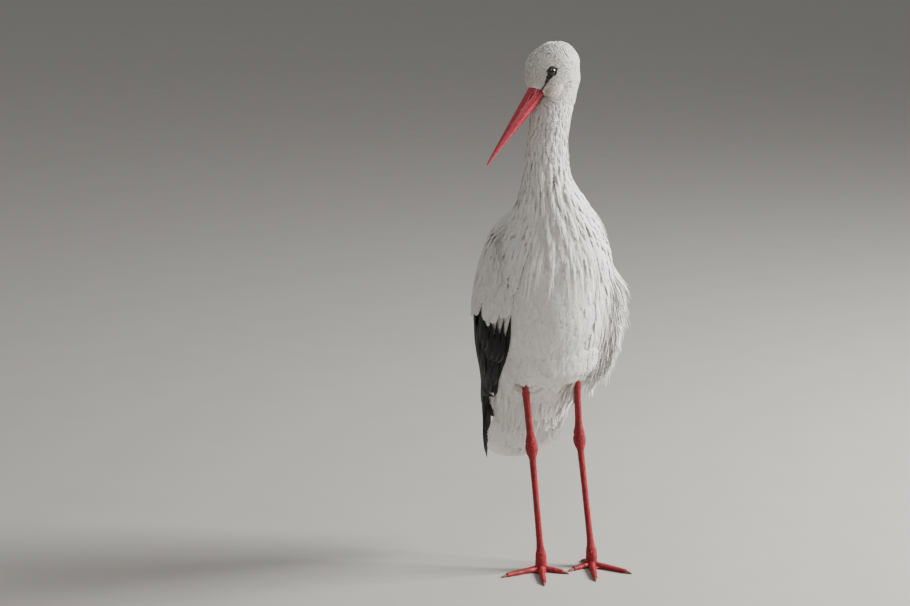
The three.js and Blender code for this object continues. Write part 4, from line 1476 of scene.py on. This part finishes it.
def scute_tree(material):
    """Geometry Nodes: a domed eight-sided plate on every point, turned and sized by the point."""
    tree = bpy.data.node_groups.new("scutes on a leg", "GeometryNodeTree")
    face = tree.interface
    face.new_socket("Geometry", in_out="INPUT", socket_type="NodeSocketGeometry")
    width = face.new_socket("Plate size", in_out="INPUT", socket_type="NodeSocketFloat")
    width.default_value = 1.0
    face.new_socket("Geometry", in_out="OUTPUT", socket_type="NodeSocketGeometry")
    link = tree.links.new

    def node(kind, **values):
        made = tree.nodes.new(kind)
        for key, value in values.items():
            made.inputs[key.replace("_", " ")].default_value = value
        return made

    source, sink = node("NodeGroupInput"), node("NodeGroupOutput")
    plate = node("GeometryNodeMeshCone", Vertices=8, Side_Segments=1, Radius_Top=0.74, Radius_Bottom=1.0,
                 Depth=1.0)
    turn, size = (node("GeometryNodeInputNamedAttribute", Name=name) for name in ("turn", "size"))
    turn.data_type = size.data_type = "FLOAT_VECTOR"
    rotation, scale = node("FunctionNodeEulerToRotation"), node("ShaderNodeVectorMath")
    scale.operation = "SCALE"
    spread, realize = node("GeometryNodeInstanceOnPoints"), node("GeometryNodeRealizeInstances")
    shade = node("GeometryNodeSetShadeSmooth", Shade_Smooth=False)
    paint = node("GeometryNodeSetMaterial", Material=material)
    link(turn.outputs["Attribute"], rotation.inputs[0])
    link(size.outputs["Attribute"], scale.inputs[0])
    link(source.outputs["Plate size"], scale.inputs["Scale"])
    link(source.outputs["Geometry"], spread.inputs["Points"])
    link(plate.outputs["Mesh"], spread.inputs["Instance"])
    link(rotation.outputs[0], spread.inputs["Rotation"])
    link(scale.outputs[0], spread.inputs["Scale"])
    link(spread.outputs[0], shade.inputs["Geometry"])
    link(shade.outputs[0], realize.inputs[0])
    link(realize.outputs[0], paint.inputs["Geometry"])
    link(paint.outputs[0], sink.inputs[0])
    return tree, width.identifier


def scutes(name, leg, skin, tree, width_socket, rng):
    """Scutes of one leg, seated on its skin."""
    points, triangles, _ = mesh_arrays(skin.data)
    surface = tree_over(points, triangles)
    spots, turns, spans = [], [], []
    for spot, out, along, span in scute_places(leg, rng):
        found, normal, _, _ = surface.find_nearest(spot.tolist())
        up = np.array(normal)
        ahead = sideways(along, up)
        spin = Matrix([np.cross(ahead, up), ahead, up]).transposed()
        spots.append(np.array(found) - up * SCUTE_SINK)
        turns.append(tuple(spin.to_euler()))
        spans.append([v * MM for v in span])
    item = make_object(name, spots, [])
    for key, values in (("turn", turns), ("size", spans)):
        attribute = item.data.attributes.new(key, "FLOAT_VECTOR", "POINT")
        attribute.data.foreach_set("vector", np.asarray(values, np.float32).ravel())
    modifier = item.modifiers.new("scutes", "NODES")
    modifier.node_group = tree
    modifier[width_socket] = 1.0
    make_plain(item)
    return item


def claw_rings(root, turn, length):
    way, wide = toe_axes(turn)
    table = np.array([(0, 3, 5), (0.35, 2.9, 4.6), (0.7, 2.3, 3.4), (1, 1, 1.4)], float)
    fine = read_stations(table, np.linspace(0, 3, 16))
    around = turns_of(16)
    lift = np.clip(0.45 + 0.55 * np.sin(around), 0, 1)
    ridge = 1 - 0.12 * np.abs(np.cos(around)) ** 4
    centre = root + way * (length - 0.8 + (CLAW_LENGTH + 1.1) * fine[:, 0])[:, None]
    return (centre[:, None] + wide * (fine[:, 1:2] * np.cos(around) * ridge)[..., None]
            + Z_AXIS * (fine[:, 2:3] * lift)[..., None])


# ---- feathers on the skin

# thick: at the shaft, mm. camber: droop of the edges. lean: how far barbs slant ahead, in barbs.
# notch, ragged: gaps between the barbs and unevenness of their tips. fullest: below 1 the vane is
# widest near its root, above 1 near its tip. fullness: how thin the ends are.
LOOK_PARTS = ("thick", "camber", "lean", "notch", "ragged", "fullest", "fullness")
LOOKS = {name: dict(zip(LOOK_PARTS, parts)) for name, parts in {
    "face": (0.35, 0.35, 0.55, 0.35, 0.3, 0.9, 0.8),
    "neck": (0.4, 0.3, 0.6, 0.35, 0.3, 0.85, 0.8),
    "plume": (0.5, 0.35, 0.7, 0.3, 0.3, 0.75, 0.85),
    "body": (0.5, 0.16, 0.6, 0.3, 0.2, 1.3, 0.65),
    "mantle": (0.5, 0.25, 0.6, 0.16, 0.12, 1.5, 0.55),
    "wisp": (0.4, 0.15, 0.8, 0.35, 0.35, 0.85, 0.8),
    "covert": (0.6, 0.2, 0.55, 0.07, 0.06, 1.7, 0.45),
    "flight": (0.7, 0.14, 0.8, 0.04, 0.03, 2.2, 0.33),
    "primary": (0.7, 0.14, 0.9, 0.04, 0.03, 1.35, 0.5),
}.items()}


# Heights over the floor at which one coat gives way to the next, in millimetres.
HEAD_FOOT, NECK_TOP, NECK_FOOT, TRUNK_TOP, MANTLE_TOP, MANTLE_FOOT = 826, 832, 640, 650, 655, 330
BREAST, SHOULDER, LEFT_SIDE = (600, 745), (560, 690), (395, 580)  # from, to


def coat(rng, look, keep, gap, length, half, barbs, spread, rise, wild, hug=1.0, trim=None,
         turn=0, pull=(0, 0, 0)):
    """One group of feathers rooted on the stretch of skin where keep(points) is true.

    Gap between roots, length, half-width, `turn` and `wild` are numbers or functions of points.
    `rise` is the height of root and tip in depths of the coat, `hug` the share of the length that
    follows the skin, `spread` and `turn` how a feather veers from the lie, `wild` how unevenly it
    lies, `trim` cuts it short and `pull` droops its free end."""
    base = ground()
    spots, faces = base.scatter(rng, gap, keep)
    lengths = value_at(length, spots) * rng.uniform(0.8, 1.2, len(spots))
    turns = rng.normal(0, spread, len(spots)) + value_at(turn, spots)
    if trim is not None:
        factor = trim(spots, base.face_lie[faces], lengths)
        fit = factor > 0.28
        spots, faces, lengths, turns = spots[fit], faces[fit], (lengths * factor)[fit], turns[fit]
    wild = value_at(wild, spots)
    path, out = base.lay(spots, faces, lengths, turns, barbs + 1, hug, np.array(pull, float))
    steps = np.linspace(0, 1, barbs + 2)
    uneven = (1 + wild * rng.uniform(-0.35, 0.25, len(spots)))[:, None]
    lift = mix(rise[0], rise[1] * uneven, smooth(steps, 0, 0.6)[None])
    depth = coat_depth(spots) * mix(0.35, 1, smooth(above_knee(spots), 4, 48))
    path = path + out * (depth[:, None] * lift)[..., None]
    roll = (rng.normal(0, 0.25, len(spots)) * wild)[:, None, None]
    out = unit(out + np.cross(unit(path[:, -1:] - path[:, :1]), out) * roll)
    fit = np.clip(lengths / value_at(length, spots), 0.5, 1.1)
    halves = value_at(half, spots) * rng.uniform(0.8, 1.2, len(spots)) * fit
    # The random stain grows with `wild`, so the ruffled brow is darkest: painted shade of the ruffle over a
    # real stain.
    shade = np.clip(rng.beta(1.3, 4, len(spots)) * (0.6 + 0.4 * wild), 0, 1)
    return path, out, halves, LOOKS[look], spots, shade


def clear_of_face(spots, way, lengths):
    """Share of its length that each feather can have before it would cover the eye or the bill."""
    factor = np.zeros(len(spots))
    open_way = off_the_face(spots, 0.0)
    factor[open_way] = 0.2
    for share in (0.35, 0.5, 0.65, 0.8, 1.0):
        reached = off_the_face(spots + way * (lengths * share)[:, None], -0.4)
        open_way &= reached
        factor[open_way] = share
    return factor


def head_length(points):
    """Length of a head feather: least at the bill and round the eyes, most at the nape."""
    grown = smooth(-head_coordinates(points)[0], -8, 62)
    eye_near = np.minimum(eye_plane(points, 1)[0], eye_plane(points, -1)[0])
    return sizes().head_length * mix(0.5, 1.35, grown) * mix(0.6, 1, smooth(eye_near, 10, 26))


def brow_ruffle(points):
    """How ruffled the feathers are, and so how much painted shade darkens them: most over the left brow."""
    forward, left, up = head_coordinates(points)
    off = ((forward + 26) / 20) ** 2 + ((left - 4) / 16) ** 2
    return 0.4 + 3.2 * np.exp(-off) * (up > 8)


def head_groups(rng):
    def on_head(points):
        forward = head_coordinates(points)[0]
        return (points[:, 2] > HEAD_FOOT) & (forward < 15) & off_the_face(points, 0.0)

    def coarser(points, low, high):
        return mix(low, high, smooth(-head_coordinates(points)[0], -5, 70))

    return [coat(rng, "face", on_head, lambda p: sizes().head_gap * coarser(p, 0.8, 1.25), head_length,
                 lambda p: coarser(p, 0.75, 1.55), barbs=4, spread=0.18, rise=(0.15, 1.0),
                 wild=brow_ruffle, trim=clear_of_face)]


def wing_cover(points):
    """True well under the folded wings, where no feathers of the body show."""
    t, angle = station_of(points), off_back(points)
    down = np.clip((t - 7.4) / 2.6, 0, 1)
    low, high = mix(42, 1.5, smooth(down, 0, 0.75)) + 30, mix(92, 119, smooth(down, 0, 0.8)) - 42
    return (t > 8.2) & (angle > low) & (angle < high)


def on_thigh(points, reach=28):
    """True within reach of the line of a thigh, in millimetres."""
    near = np.zeros(len(points), bool)
    for leg in LEGS.values():
        share, off, _ = along_thigh(points, leg)
        near |= (share > THIGH_FROM) & (share < 1.15) & (off < reach)
    return near


def above_knee(points):
    """How far each point is from the lower end of the thigh's coat: FAR or more away from both."""
    best = np.full(len(points), FAR)
    for name, leg in LEGS.items():
        share, off, way = along_thigh(points, leg)
        level = (HEM[name] + 0.04 - share) * np.linalg.norm(way)
        best = np.minimum(best, level + FAR * smooth(off, 26, 48))
    return best


def lower(points, above, below):
    """0 at the upper and 1 at the lower of two heights, eased between."""
    return smooth(-points[:, 2], -above, -below)


def neck_groups(rng):
    return [coat(rng, "neck", lambda p: (p[:, 2] > NECK_FOOT) & (p[:, 2] <= NECK_TOP),
                 lambda p: sizes().neck_gap * mix(0.75, 1.25, lower(p, 840, 700)),
                 lambda p: sizes().neck_length * mix(0.55, 1.3, lower(p, 835, 690)),
                 lambda p: mix(1.7, 3.4, lower(p, 835, 680)),
                 barbs=5, spread=0.12, rise=(0.1, 0.9), wild=0.7)]


def plume_groups(rng):
    """Long loose plumes that hang from the lower neck over the breast."""
    def on_breast(points):
        return (points[:, 2] > BREAST[0]) & (points[:, 2] < BREAST[1]) & (off_back(points) > 140)

    return [coat(rng, "plume", on_breast, 7.5,
                 lambda p: sizes().plume_length * mix(0.6, 1.1, lower(p, 740, 640)), 3.4,
                 barbs=9, spread=0.09, rise=(0.3, 1.55), wild=0.9, hug=0.65)]


def trunk_groups(rng):
    """Body feathers of breast, belly and thighs, shorter and closer towards the thighs' hems."""
    full, gap = sizes().trunk_length, sizes().trunk_gap

    def on_front(points):
        above = above_knee(points)
        bare = wing_cover(points) | (above <= 6)
        return (points[:, 2] <= TRUNK_TOP) & ~bare & ((off_back(points) > 62) | (above < FAR))

    return [coat(rng, "body", on_front,
                 lambda p: np.minimum(gap, mix(3.6, gap, smooth(above_knee(p), 8, 34))),
                 lambda p: np.clip(above_knee(p), 9, full),
                 lambda p: mix(3.4, 9.0, smooth(above_knee(p), 8, 36)),
                 barbs=8, spread=0.1, rise=(0.1, 0.95), wild=0.22)]


def side_groups(rng):
    """Feathers that close the edge before each wing, and longer ones that carry the side of the
    belly out over the left flank's plumes."""
    def before_wing(points):
        z, angle = points[:, 2], off_back(points)
        return (z >= SHOULDER[0]) & (z < SHOULDER[1]) & (angle > 100) & (angle < 138)

    def on_side(points):
        z, angle = points[:, 2], np.degrees(angle_of(points))
        side = (z > LEFT_SIDE[0]) & (z < LEFT_SIDE[1]) & (angle > 88) & (angle < 146)
        return side & ~on_thigh(points)

    return [coat(rng, "body", before_wing, 6.4, 50, 5.2,
                 barbs=8, spread=0.1, rise=(0.3, 1.6), wild=0.3, hug=0.6),
            coat(rng, "body", on_side, 5.0, lambda p: mix(44, 56, lower(p, 560, 440)),
                 4.2, barbs=8, spread=0.16, rise=(0.3, 1.1), wild=0.3, hug=0.85,
                 turn=0.12, pull=(0.02, 0, -0.1))]


def vent_groups(rng):
    """Long soft feathers from the rear of the belly that hang over the root of the tail."""
    def on_vent(points):
        x, y, z = points.T
        behind = (z < 374) & (z > 290) & (y > 0)
        beside = (x < -62) & (z < 425) & (z > 300) & (y > -6)
        return (behind | beside) & (off_back(points) > 84) & ~on_thigh(points, 42)

    return [coat(rng, "body", on_vent, 5.6, lambda p: mix(58, 88, lower(p, 425, 340)),
                 6.0, barbs=9, spread=0.1, rise=(0.05, 0.95), wild=0.3, hug=0.3,
                 turn=lambda p: 0.15 * np.clip((p[:, 0] + 6) / 70, -1, 1), pull=(0, 0.06, -0.2))]


def mantle_groups(rng):
    """Firm feathers of the back between the wings."""
    def on_back(points):
        level = (points[:, 2] <= MANTLE_TOP) & (points[:, 2] > MANTLE_FOOT)
        return level & ~wing_cover(points) & (off_back(points) <= 66)

    return [coat(rng, "mantle", on_back, 7.5, 54, 10,
                 barbs=8, spread=0.1, rise=(0.1, 1.0), wild=0.3)]


# ---- feathers on the wings, flank and tail


def arc_of(patch, share):
    """Length of the patch from its start to its end, along each share."""
    down = np.linspace(0, 1, 24)
    grid = patch.place(down[None], share[:, None], np.zeros((len(share), 24)))
    return np.linalg.norm(np.diff(grid, axis=1), axis=2).sum(1)


def width_at(patch, down):
    """Width of the patch at a share of its way down."""
    share = np.linspace(0, 1, 24)
    line = patch.place(np.full(24, down), share, np.zeros(24))
    return np.linalg.norm(np.diff(line, axis=0), axis=1).sum()


def patch_rows(rng, patch, tips, length, half, pitch, barbs, look, low=0.35, high=0.95, drift=0.0,
               wobble=0.02, edges=(0.03, 0.97), shade=0.3):
    """Staggered rows of feathers whose tips lie at the given shares down the patch.

    Length and half-width are numbers or functions of down and share."""
    share, tip = [], []
    for row, down in enumerate(tips):
        count = max(3, int(width_at(patch, down) / pitch))
        line = edges[0] + (edges[1] - edges[0]) * (np.arange(count) + 0.5 * (row % 2) + 0.25) / count
        share.append(np.clip(line + rng.normal(0, 0.15 / count, count), *edges))
        tip.append(down + rng.normal(0, wobble, count))
    share, tip = np.concatenate(share), np.concatenate(tip)
    lengths = length(tip, share) if callable(length) else length
    lengths = lengths * rng.uniform(0.93, 1.07, len(share))
    first = tip - lengths / arc_of(patch, share)
    level = rng.uniform(-0.06, 0.06, len(share))
    drifts = drift + rng.normal(0, 0.012, len(share))
    path, out = patch.paths(share, first, lengths, barbs + 2, low + level, high + level, drifts)
    halves = half(tip, share) if callable(half) else half
    halves = halves * rng.uniform(0.92, 1.08, len(share))
    shades = np.clip(rng.beta(1.5, 4, len(share)) * shade * 3, 0, 1)
    return path, out, halves, LOOKS[look], path[:, 0], shades


def covert_groups(rng, side):
    """White coverts in rows, with smaller ones that close the leading edge and the shoulder."""
    patch = covert_patch(side)
    rim = patch_rows(rng, patch, np.linspace(1.0, 0.0, 22), 34, 6.5, 30, 8, "covert",
                     low=-1.3, high=0.9, edges=(0.88, 1.05))
    shoulder = patch_rows(rng, patch, (0.16, 0.08, 0.0, -0.08), 40, 8, 9, 8, "covert",
                          low=-1.0, high=1.0, edges=(0.02, 1.02))
    rows = patch_rows(rng, patch, np.linspace(1.0, 0.1, 15),
                      lambda d, s: mix(30, 62, smooth(d, 0.1, 1)) * mix(1.15, 0.85, s),
                      lambda d, s: mix(6.5, 12.5, smooth(d, 0.1, 1)), 10.5, 9, "covert",
                      low=0.45, high=1.0)
    return [rim, shoulder, rows]


def long_feathers(patch, share, lengths, level, drift, half, look, shade):
    """One row of long flight feathers that start at the upper edge of the patch."""
    count = len(share)
    drifts = np.full(count, drift)
    path, out = patch.paths(share, np.zeros(count), lengths, 26, level * 0.7, level, drifts)
    return path, out, np.full(count, half), LOOKS[look], path[:, 0], shade


def secondary_groups(rng, side):
    patch = secondary_patch(side)
    count = 12
    share = (np.arange(count) + 0.4) / count
    lengths = arc_of(patch, share) * (1.0 - 0.05 * rng.random(count)) * mix(1.0, 0.9, share)
    level = mix(0.95, 1.0, share)
    long = long_feathers(patch, share, lengths, level, 0.01, 15.5, "flight", rng.random(count))
    cover = patch_rows(rng, patch, (0.40, 0.27, 0.14), lambda d, s: mix(62, 84, d), 12.5, 15, 12,
                       "covert", low=0.7, high=1.12, wobble=0.03, shade=0.6)
    return [long, cover]


def primary_groups(rng, side):
    patch = primary_patch(side)
    count = 9
    share = (np.arange(count) + 0.5) / count
    uneven = rng.uniform(0.97, 1.0, count)
    lengths = arc_of(patch, share) * mix(0.86, 1.0, 1 - np.abs(2 * share - 0.9)) * uneven
    level = mix(0.3, 0.95, smooth(share, 0, 0.35)) * mix(1, 0.55, smooth(share, 0.35, 1))
    long = long_feathers(patch, share, lengths, level, 0.0, 10.5, "primary", rng.random(count) * 0.2)
    cover = patch_rows(rng, patch, (0.46, 0.34, 0.22), 70, 9, 12, 11, "covert",
                       low=0.7, high=1.1, wobble=0.03, shade=0.6)
    return [long, cover]


# Layers of loose plumes: how many, rise of root and tip, length, half-width, least and most that the
# tips stand off, and the share down the flank at which the highest tips lie.
PLUME_LAYERS = (
    (420, 0.86, 1.04, 46, 3.4, 0, 3, 0.05),
    (380, 0.9, 1.1, 50, 2.6, 0, 8, 0.05),
    (320, 0.95, 1.15, 52, 2.0, 3, 11, 0.12),
    (150, 0.95, 1.2, 56, 1.6, 8, 19, 0.15),
)


def flank_groups(rng):
    """Closed layers of broad feathers, then fine plumes that splay at their tips."""
    patch = flank_patch()
    groups = [patch_rows(rng, patch, np.linspace(0.97, 0.05, 15), 56, 9, 8, 8, "body",
                         low=low, high=high, wobble=0.05, edges=(0.0, 1.02), shade=0.1)
              for low, high in ((0.05, 0.5), (0.5, 0.95))]
    steps = np.linspace(0, 1, 11)
    for count, low, high, length, half, least, most, top in PLUME_LAYERS:
        share = rng.uniform(0.0, 0.98, count) if least == 0 else rng.normal(0.42, 0.17, count)
        lengths = length * rng.uniform(0.75, 1.2, count)
        tip = mix(top, 1.12, rng.random(count) ** 0.8)
        first = tip - lengths / arc_of(patch, share)
        drift = rng.normal(0, 0.05, count) - 0.1 * (share - 0.4)
        path, out = patch.paths(share, first, lengths, len(steps), low, high, drift)
        flare = rng.uniform(least, most, count) * np.exp(-((share - 0.42) / 0.3) ** 2)
        flare = flare * mix(1, 0.5, smooth(tip, 0.5, 1))
        path = path + out[:, :1] * (flare[:, None] * steps ** 1.6)[..., None]
        groups.append((path, out, half * rng.uniform(0.8, 1.2, count), LOOKS["wisp"], path[:, 0],
                       rng.beta(1.2, 5, count) * 0.2))
    return groups


def tail_groups(rng):
    """Long tail feathers, the middle ones on top, and coverts over and under them."""
    groups = []
    top = TailFan(1)
    count = 12
    x = (np.arange(count) - 5.5) / 5.5
    order = np.argsort(-np.abs(x))
    share = 0.5 + 0.44 * x[order]
    level = mix(0.9, -0.6, np.abs(x[order]))
    lengths = arc_of(top, share) * 0.995
    path, out = top.paths(share, np.zeros(count), lengths, 24, level, level * 0.9, 0.02 * x[order])
    shade = rng.random(count) * 0.3
    groups.append((path, out, np.full(count, 12.5), LOOKS["flight"], path[:, 0], shade))
    for face, wider, rows in ((1, 0.06, (0.7, 0.58, 0.46, 0.34, 0.22, 0.1)),
                              (-1, -0.06, (0.8, 0.7, 0.6, 0.5, 0.4, 0.3, 0.2, 0.1))):
        patch = TailFan(face)
        groups.append(patch_rows(rng, patch, rows, lambda d, s: mix(48, 66, d), 9, 9.5, 10, "mantle",
                                 low=0.75, high=1.0, wobble=0.03, edges=(wider, 1 - wider), shade=0.15))
    return groups


# ---- operators


class STORK_OT_skin(bpy.types.Operator):
    """One skin for head, neck, trunk and thighs, inside the coat by its depth"""

    bl_idname = "stork.skin"
    bl_label = "Skin"

    def execute(self, context):
        shapes = [inset_body(), inset_head(3.0), tube(limb_rings(NAPE, 24)), tube(limb_rings(APRON, 36)),
                  cheek(1), cheek(-1)]
        for name, leg in LEGS.items():
            rows = [(share * (HEM[name] if share > 0 else 1), half, deep) for share, half, deep in THIGH]
            stations = smooth_stations(leg["hip"], leg["knee"], rows, 24)
            shapes.append(tube(limb_rings(stations, 24, grow=-THIGH_COAT)))
        item = fused("skin", shapes, SKIN_CELL, 6)
        set_point_attribute(item.data, "blush", blush_of(mesh_arrays(item.data)[0]))
        item.data.materials.append(down_skin(looks()))
        settle(item, "plumage", "head", "neck_upper", "neck_lower", "trunk", "thigh_left", "thigh_right")
        GROUND.clear()
        return {"FINISHED"}


class STORK_OT_bill(bpy.types.Operator):
    """Both halves of the bill"""

    bl_idname = "stork.bill"
    bl_label = "Bill"

    def execute(self, context):
        horn = bill_horn(looks())
        settle(bill_half("bill_horn_upper", 1, horn), "bill", "bill_upper")
        settle(bill_half("bill_horn_lower", -1, horn), "bill", "bill_lower")
        return {"FINISHED"}


class STORK_OT_eyes(bpy.types.Operator):
    """Eyeballs, lids and the bare black skin between eye and mouth"""

    bl_idname = "stork.eyes"
    bl_label = "Eyes and bare skin"

    def execute(self, context):
        wet, bare = wet_eye(looks()), bare_face(looks())
        for name, side in (("left", 1), ("right", -1)):
            settle(eyeball("eyeball_" + name, side, wet), "eye", "eye_" + name)
            settle(lids("lids_" + name, side, bare), "face_skin")
            settle(lore_line("lore_" + name, side, bare), "face_skin")
        return {"FINISHED"}


class STORK_OT_legs(bpy.types.Operator):
    """Leg skin, its scutes and the claws"""

    bl_idname = "stork.legs"
    bl_label = "Legs"

    def execute(self, context):
        hide, plate = leg_hide("leg skin", looks(), 0.2), leg_hide("leg scutes", looks(), 0.5)
        horn = claw_horn(looks())
        tree, width_socket = scute_tree(plate)
        for name, leg in LEGS.items():
            skin = leg_skin("leg_skin_" + name, leg, hide)
            item = scutes("leg_scutes_" + name, leg, skin, tree, width_socket, random_for(20))
            settle(skin, "leg_skin", "tibia_" + name, "tarsus_" + name, "foot_" + name)
            settle(item, "leg_skin")
            root = under_foot(leg)
            rings = [tube(claw_rings(root, turn, TOE_LENGTHS[toe])) for toe, turn in leg["toes"].items()]
            claws = make_object("claws_" + name, *together(rings), horn)
            settle(claws, "claw", *(f"claw_{name}_{toe}" for toe in leg["toes"]))
        return {"FINISHED"}


class STORK_OT_head_feathers(bpy.types.Operator):
    """Small hair-like feathers of the head"""

    bl_idname = "stork.head_feathers"
    bl_label = "Head feathers"

    def execute(self, context):
        white = white_plumage("head plumage", looks(), 9, 2, 0.2)
        settle(feathers("head_feathers", head_groups(random_for(1)), white), "plumage")
        return {"FINISHED"}


class STORK_OT_body_feathers(bpy.types.Operator):
    """Feathers of the neck, breast, trunk, thighs and back"""

    bl_idname = "stork.body_feathers"
    bl_label = "Body feathers"

    def execute(self, context):
        soft = white_plumage("soft plumage", looks(), 22, 5, 0.4)
        firm = white_plumage("firm plumage", looks(), 36, 9, 0.7)
        for name, groups, material in (
            ("neck_feathers", neck_groups(random_for(2)), soft),
            ("breast_plumes", plume_groups(random_for(3)), soft),
            ("trunk_feathers", trunk_groups(random_for(4)), soft),
            ("mantle_feathers", mantle_groups(random_for(5)), firm),
            ("side_feathers", side_groups(random_for(12)), soft),
            ("vent_feathers", vent_groups(random_for(13)), soft),
        ):
            settle(feathers(name, groups, material), "plumage")
        return {"FINISHED"}


class STORK_OT_wings(bpy.types.Operator):
    """White coverts and black flight feathers of the folded wings"""

    bl_idname = "stork.wings"
    bl_label = "Wings"

    def execute(self, context):
        firm = white_plumage("covert plumage", looks(), 40, 10, 0.8)
        black = black_plumage("flight feathers", looks())
        for name, side in (("left", 1), ("right", -1)):
            for piece, groups, seed, material, slot, node in (
                ("coverts_", covert_groups, 7, firm, "plumage", "wing_"),
                ("secondary_vanes_", secondary_groups, 8, black, "flight_feathers", "secondaries_"),
                ("primary_vanes_", primary_groups, 9, black, "flight_feathers", "primaries_"),
            ):
                item = feathers(piece + name, groups(random_for(seed), side), material)
                settle(item, slot, node + name)
        return {"FINISHED"}


class STORK_OT_flank_and_tail(bpy.types.Operator):
    """Loose plumes of the left flank, tail feathers and tail coverts"""

    bl_idname = "stork.flank_and_tail"
    bl_label = "Flank and tail"

    def execute(self, context):
        loose = white_plumage("loose plumage", looks(), 20, 4, 0.5)
        firm = white_plumage("tail plumage", looks(), 60, 14, 0.8)
        settle(feathers("flank_plumes", flank_groups(random_for(10)), loose), "plumage", "flank_left")
        settle(feathers("tail_feathers", tail_groups(random_for(11)), firm), "plumage", "tail")
        return {"FINISHED"}


CAMERA_TURN = math.radians(-16)  # from straight ahead of the bird, to its right
CAMERA_TILT = math.radians(11.73)
PICTURE_WIDTH, SHARP_LENGTH = 910, 2545.0  # pixels
AIM_COLUMN = 550  # column of the render on which the bird's axis stands
FLOOR_HALF = 60000.0  # millimetres
KEY_PLACE, FILL_PLACE = (3.1, -0.7, 2.1), (-0.55, -3.2, 3.0)  # metres
LIGHT_AIM = Vector((0, 0, 0.5))
SKY_TINT, SKY_STRENGTH = (0.86, 0.84, 0.81, 1), 0.38


class STORK_OT_studio(bpy.types.Operator):
    """Pale floor, soft lights and the camera"""

    bl_idname = "stork.studio"
    bl_label = "Studio"

    def execute(self, context):
        corners = FLOOR_HALF * np.array([(-1, -1, 0), (1, -1, 0), (1, 1, 0), (-1, 1, 0)])
        floor = make_object("floor", corners, [(0, 1, 2, 3)], floor_paint(looks()), smooth_faces=False)
        self.light("key light", KEY_PLACE, 1.4, sizes().key_power, (1.0, 0.975, 0.93))
        self.light("fill light", FILL_PLACE, 1.0, sizes().fill_power, (1.0, 0.98, 0.95))
        world = bpy.data.worlds.new("studio")
        world.use_nodes = True
        sky = world.node_tree.nodes["Background"].inputs
        sky["Color"].default_value = SKY_TINT
        sky["Strength"].default_value = SKY_STRENGTH
        bpy.context.scene.world = world
        self.camera()
        return {"FINISHED"}

    def light(self, name, place, size, power, tint):
        lamp = bpy.data.lights.new(name, "AREA")
        lamp.size, lamp.energy, lamp.color = size, power, tint
        item = linked(name, lamp)
        item.location = place
        item.rotation_euler = (LIGHT_AIM - Vector(place)).to_track_quat("-Z", "Y").to_euler()

    def camera(self):
        data = bpy.data.cameras.new("camera")
        data.sensor_width = 36.0
        data.lens = SHARP_LENGTH / PICTURE_WIDTH * data.sensor_width
        item = linked("camera", data)
        distance, height = sizes().camera_distance, sizes().camera_height
        place = Vector((distance * math.sin(CAMERA_TURN), -distance * math.cos(CAMERA_TURN), height))
        pan = math.atan((AIM_COLUMN - PICTURE_WIDTH / 2) / SHARP_LENGTH)
        item.location = place + Vector((SHIFT[0] * MM, SHIFT[1] * MM, 0))
        item.rotation_euler = (math.pi / 2 - CAMERA_TILT, 0, CAMERA_TURN + pan)
        bpy.context.scene.camera = item


OPERATORS = (STORK_OT_skin, STORK_OT_bill, STORK_OT_eyes, STORK_OT_legs, STORK_OT_head_feathers,
             STORK_OT_body_feathers, STORK_OT_wings, STORK_OT_flank_and_tail, STORK_OT_studio)


class STORK_PT_panel(bpy.types.Panel):
    """Builds the stork piece by piece"""

    bl_label = "White Stork"
    bl_idname = "STORK_PT_panel"
    bl_space_type = "VIEW_3D"
    bl_region_type = "UI"
    bl_category = "Stork"

    def draw(self, context):
        for operator in OPERATORS:
            self.layout.operator(operator.bl_idname)
        for settings in (context.scene.stork_sizes, context.scene.stork_looks):
            for name in settings.__annotations__:
                self.layout.prop(settings, name)


CLASSES = (StorkLooks, StorkSizes, *OPERATORS, STORK_PT_panel)


def register():
    for item in CLASSES:
        bpy.utils.register_class(item)
    bpy.types.Scene.stork_looks = PointerProperty(type=StorkLooks)
    bpy.types.Scene.stork_sizes = PointerProperty(type=StorkSizes)


def unregister():
    del bpy.types.Scene.stork_sizes
    del bpy.types.Scene.stork_looks
    for item in reversed(CLASSES):
        bpy.utils.unregister_class(item)


def main():
    register()
    for operator in OPERATORS:
        family, name = operator.bl_idname.split(".")
        getattr(getattr(bpy.ops, family), name)()


if __name__ == "__main__":
    main()
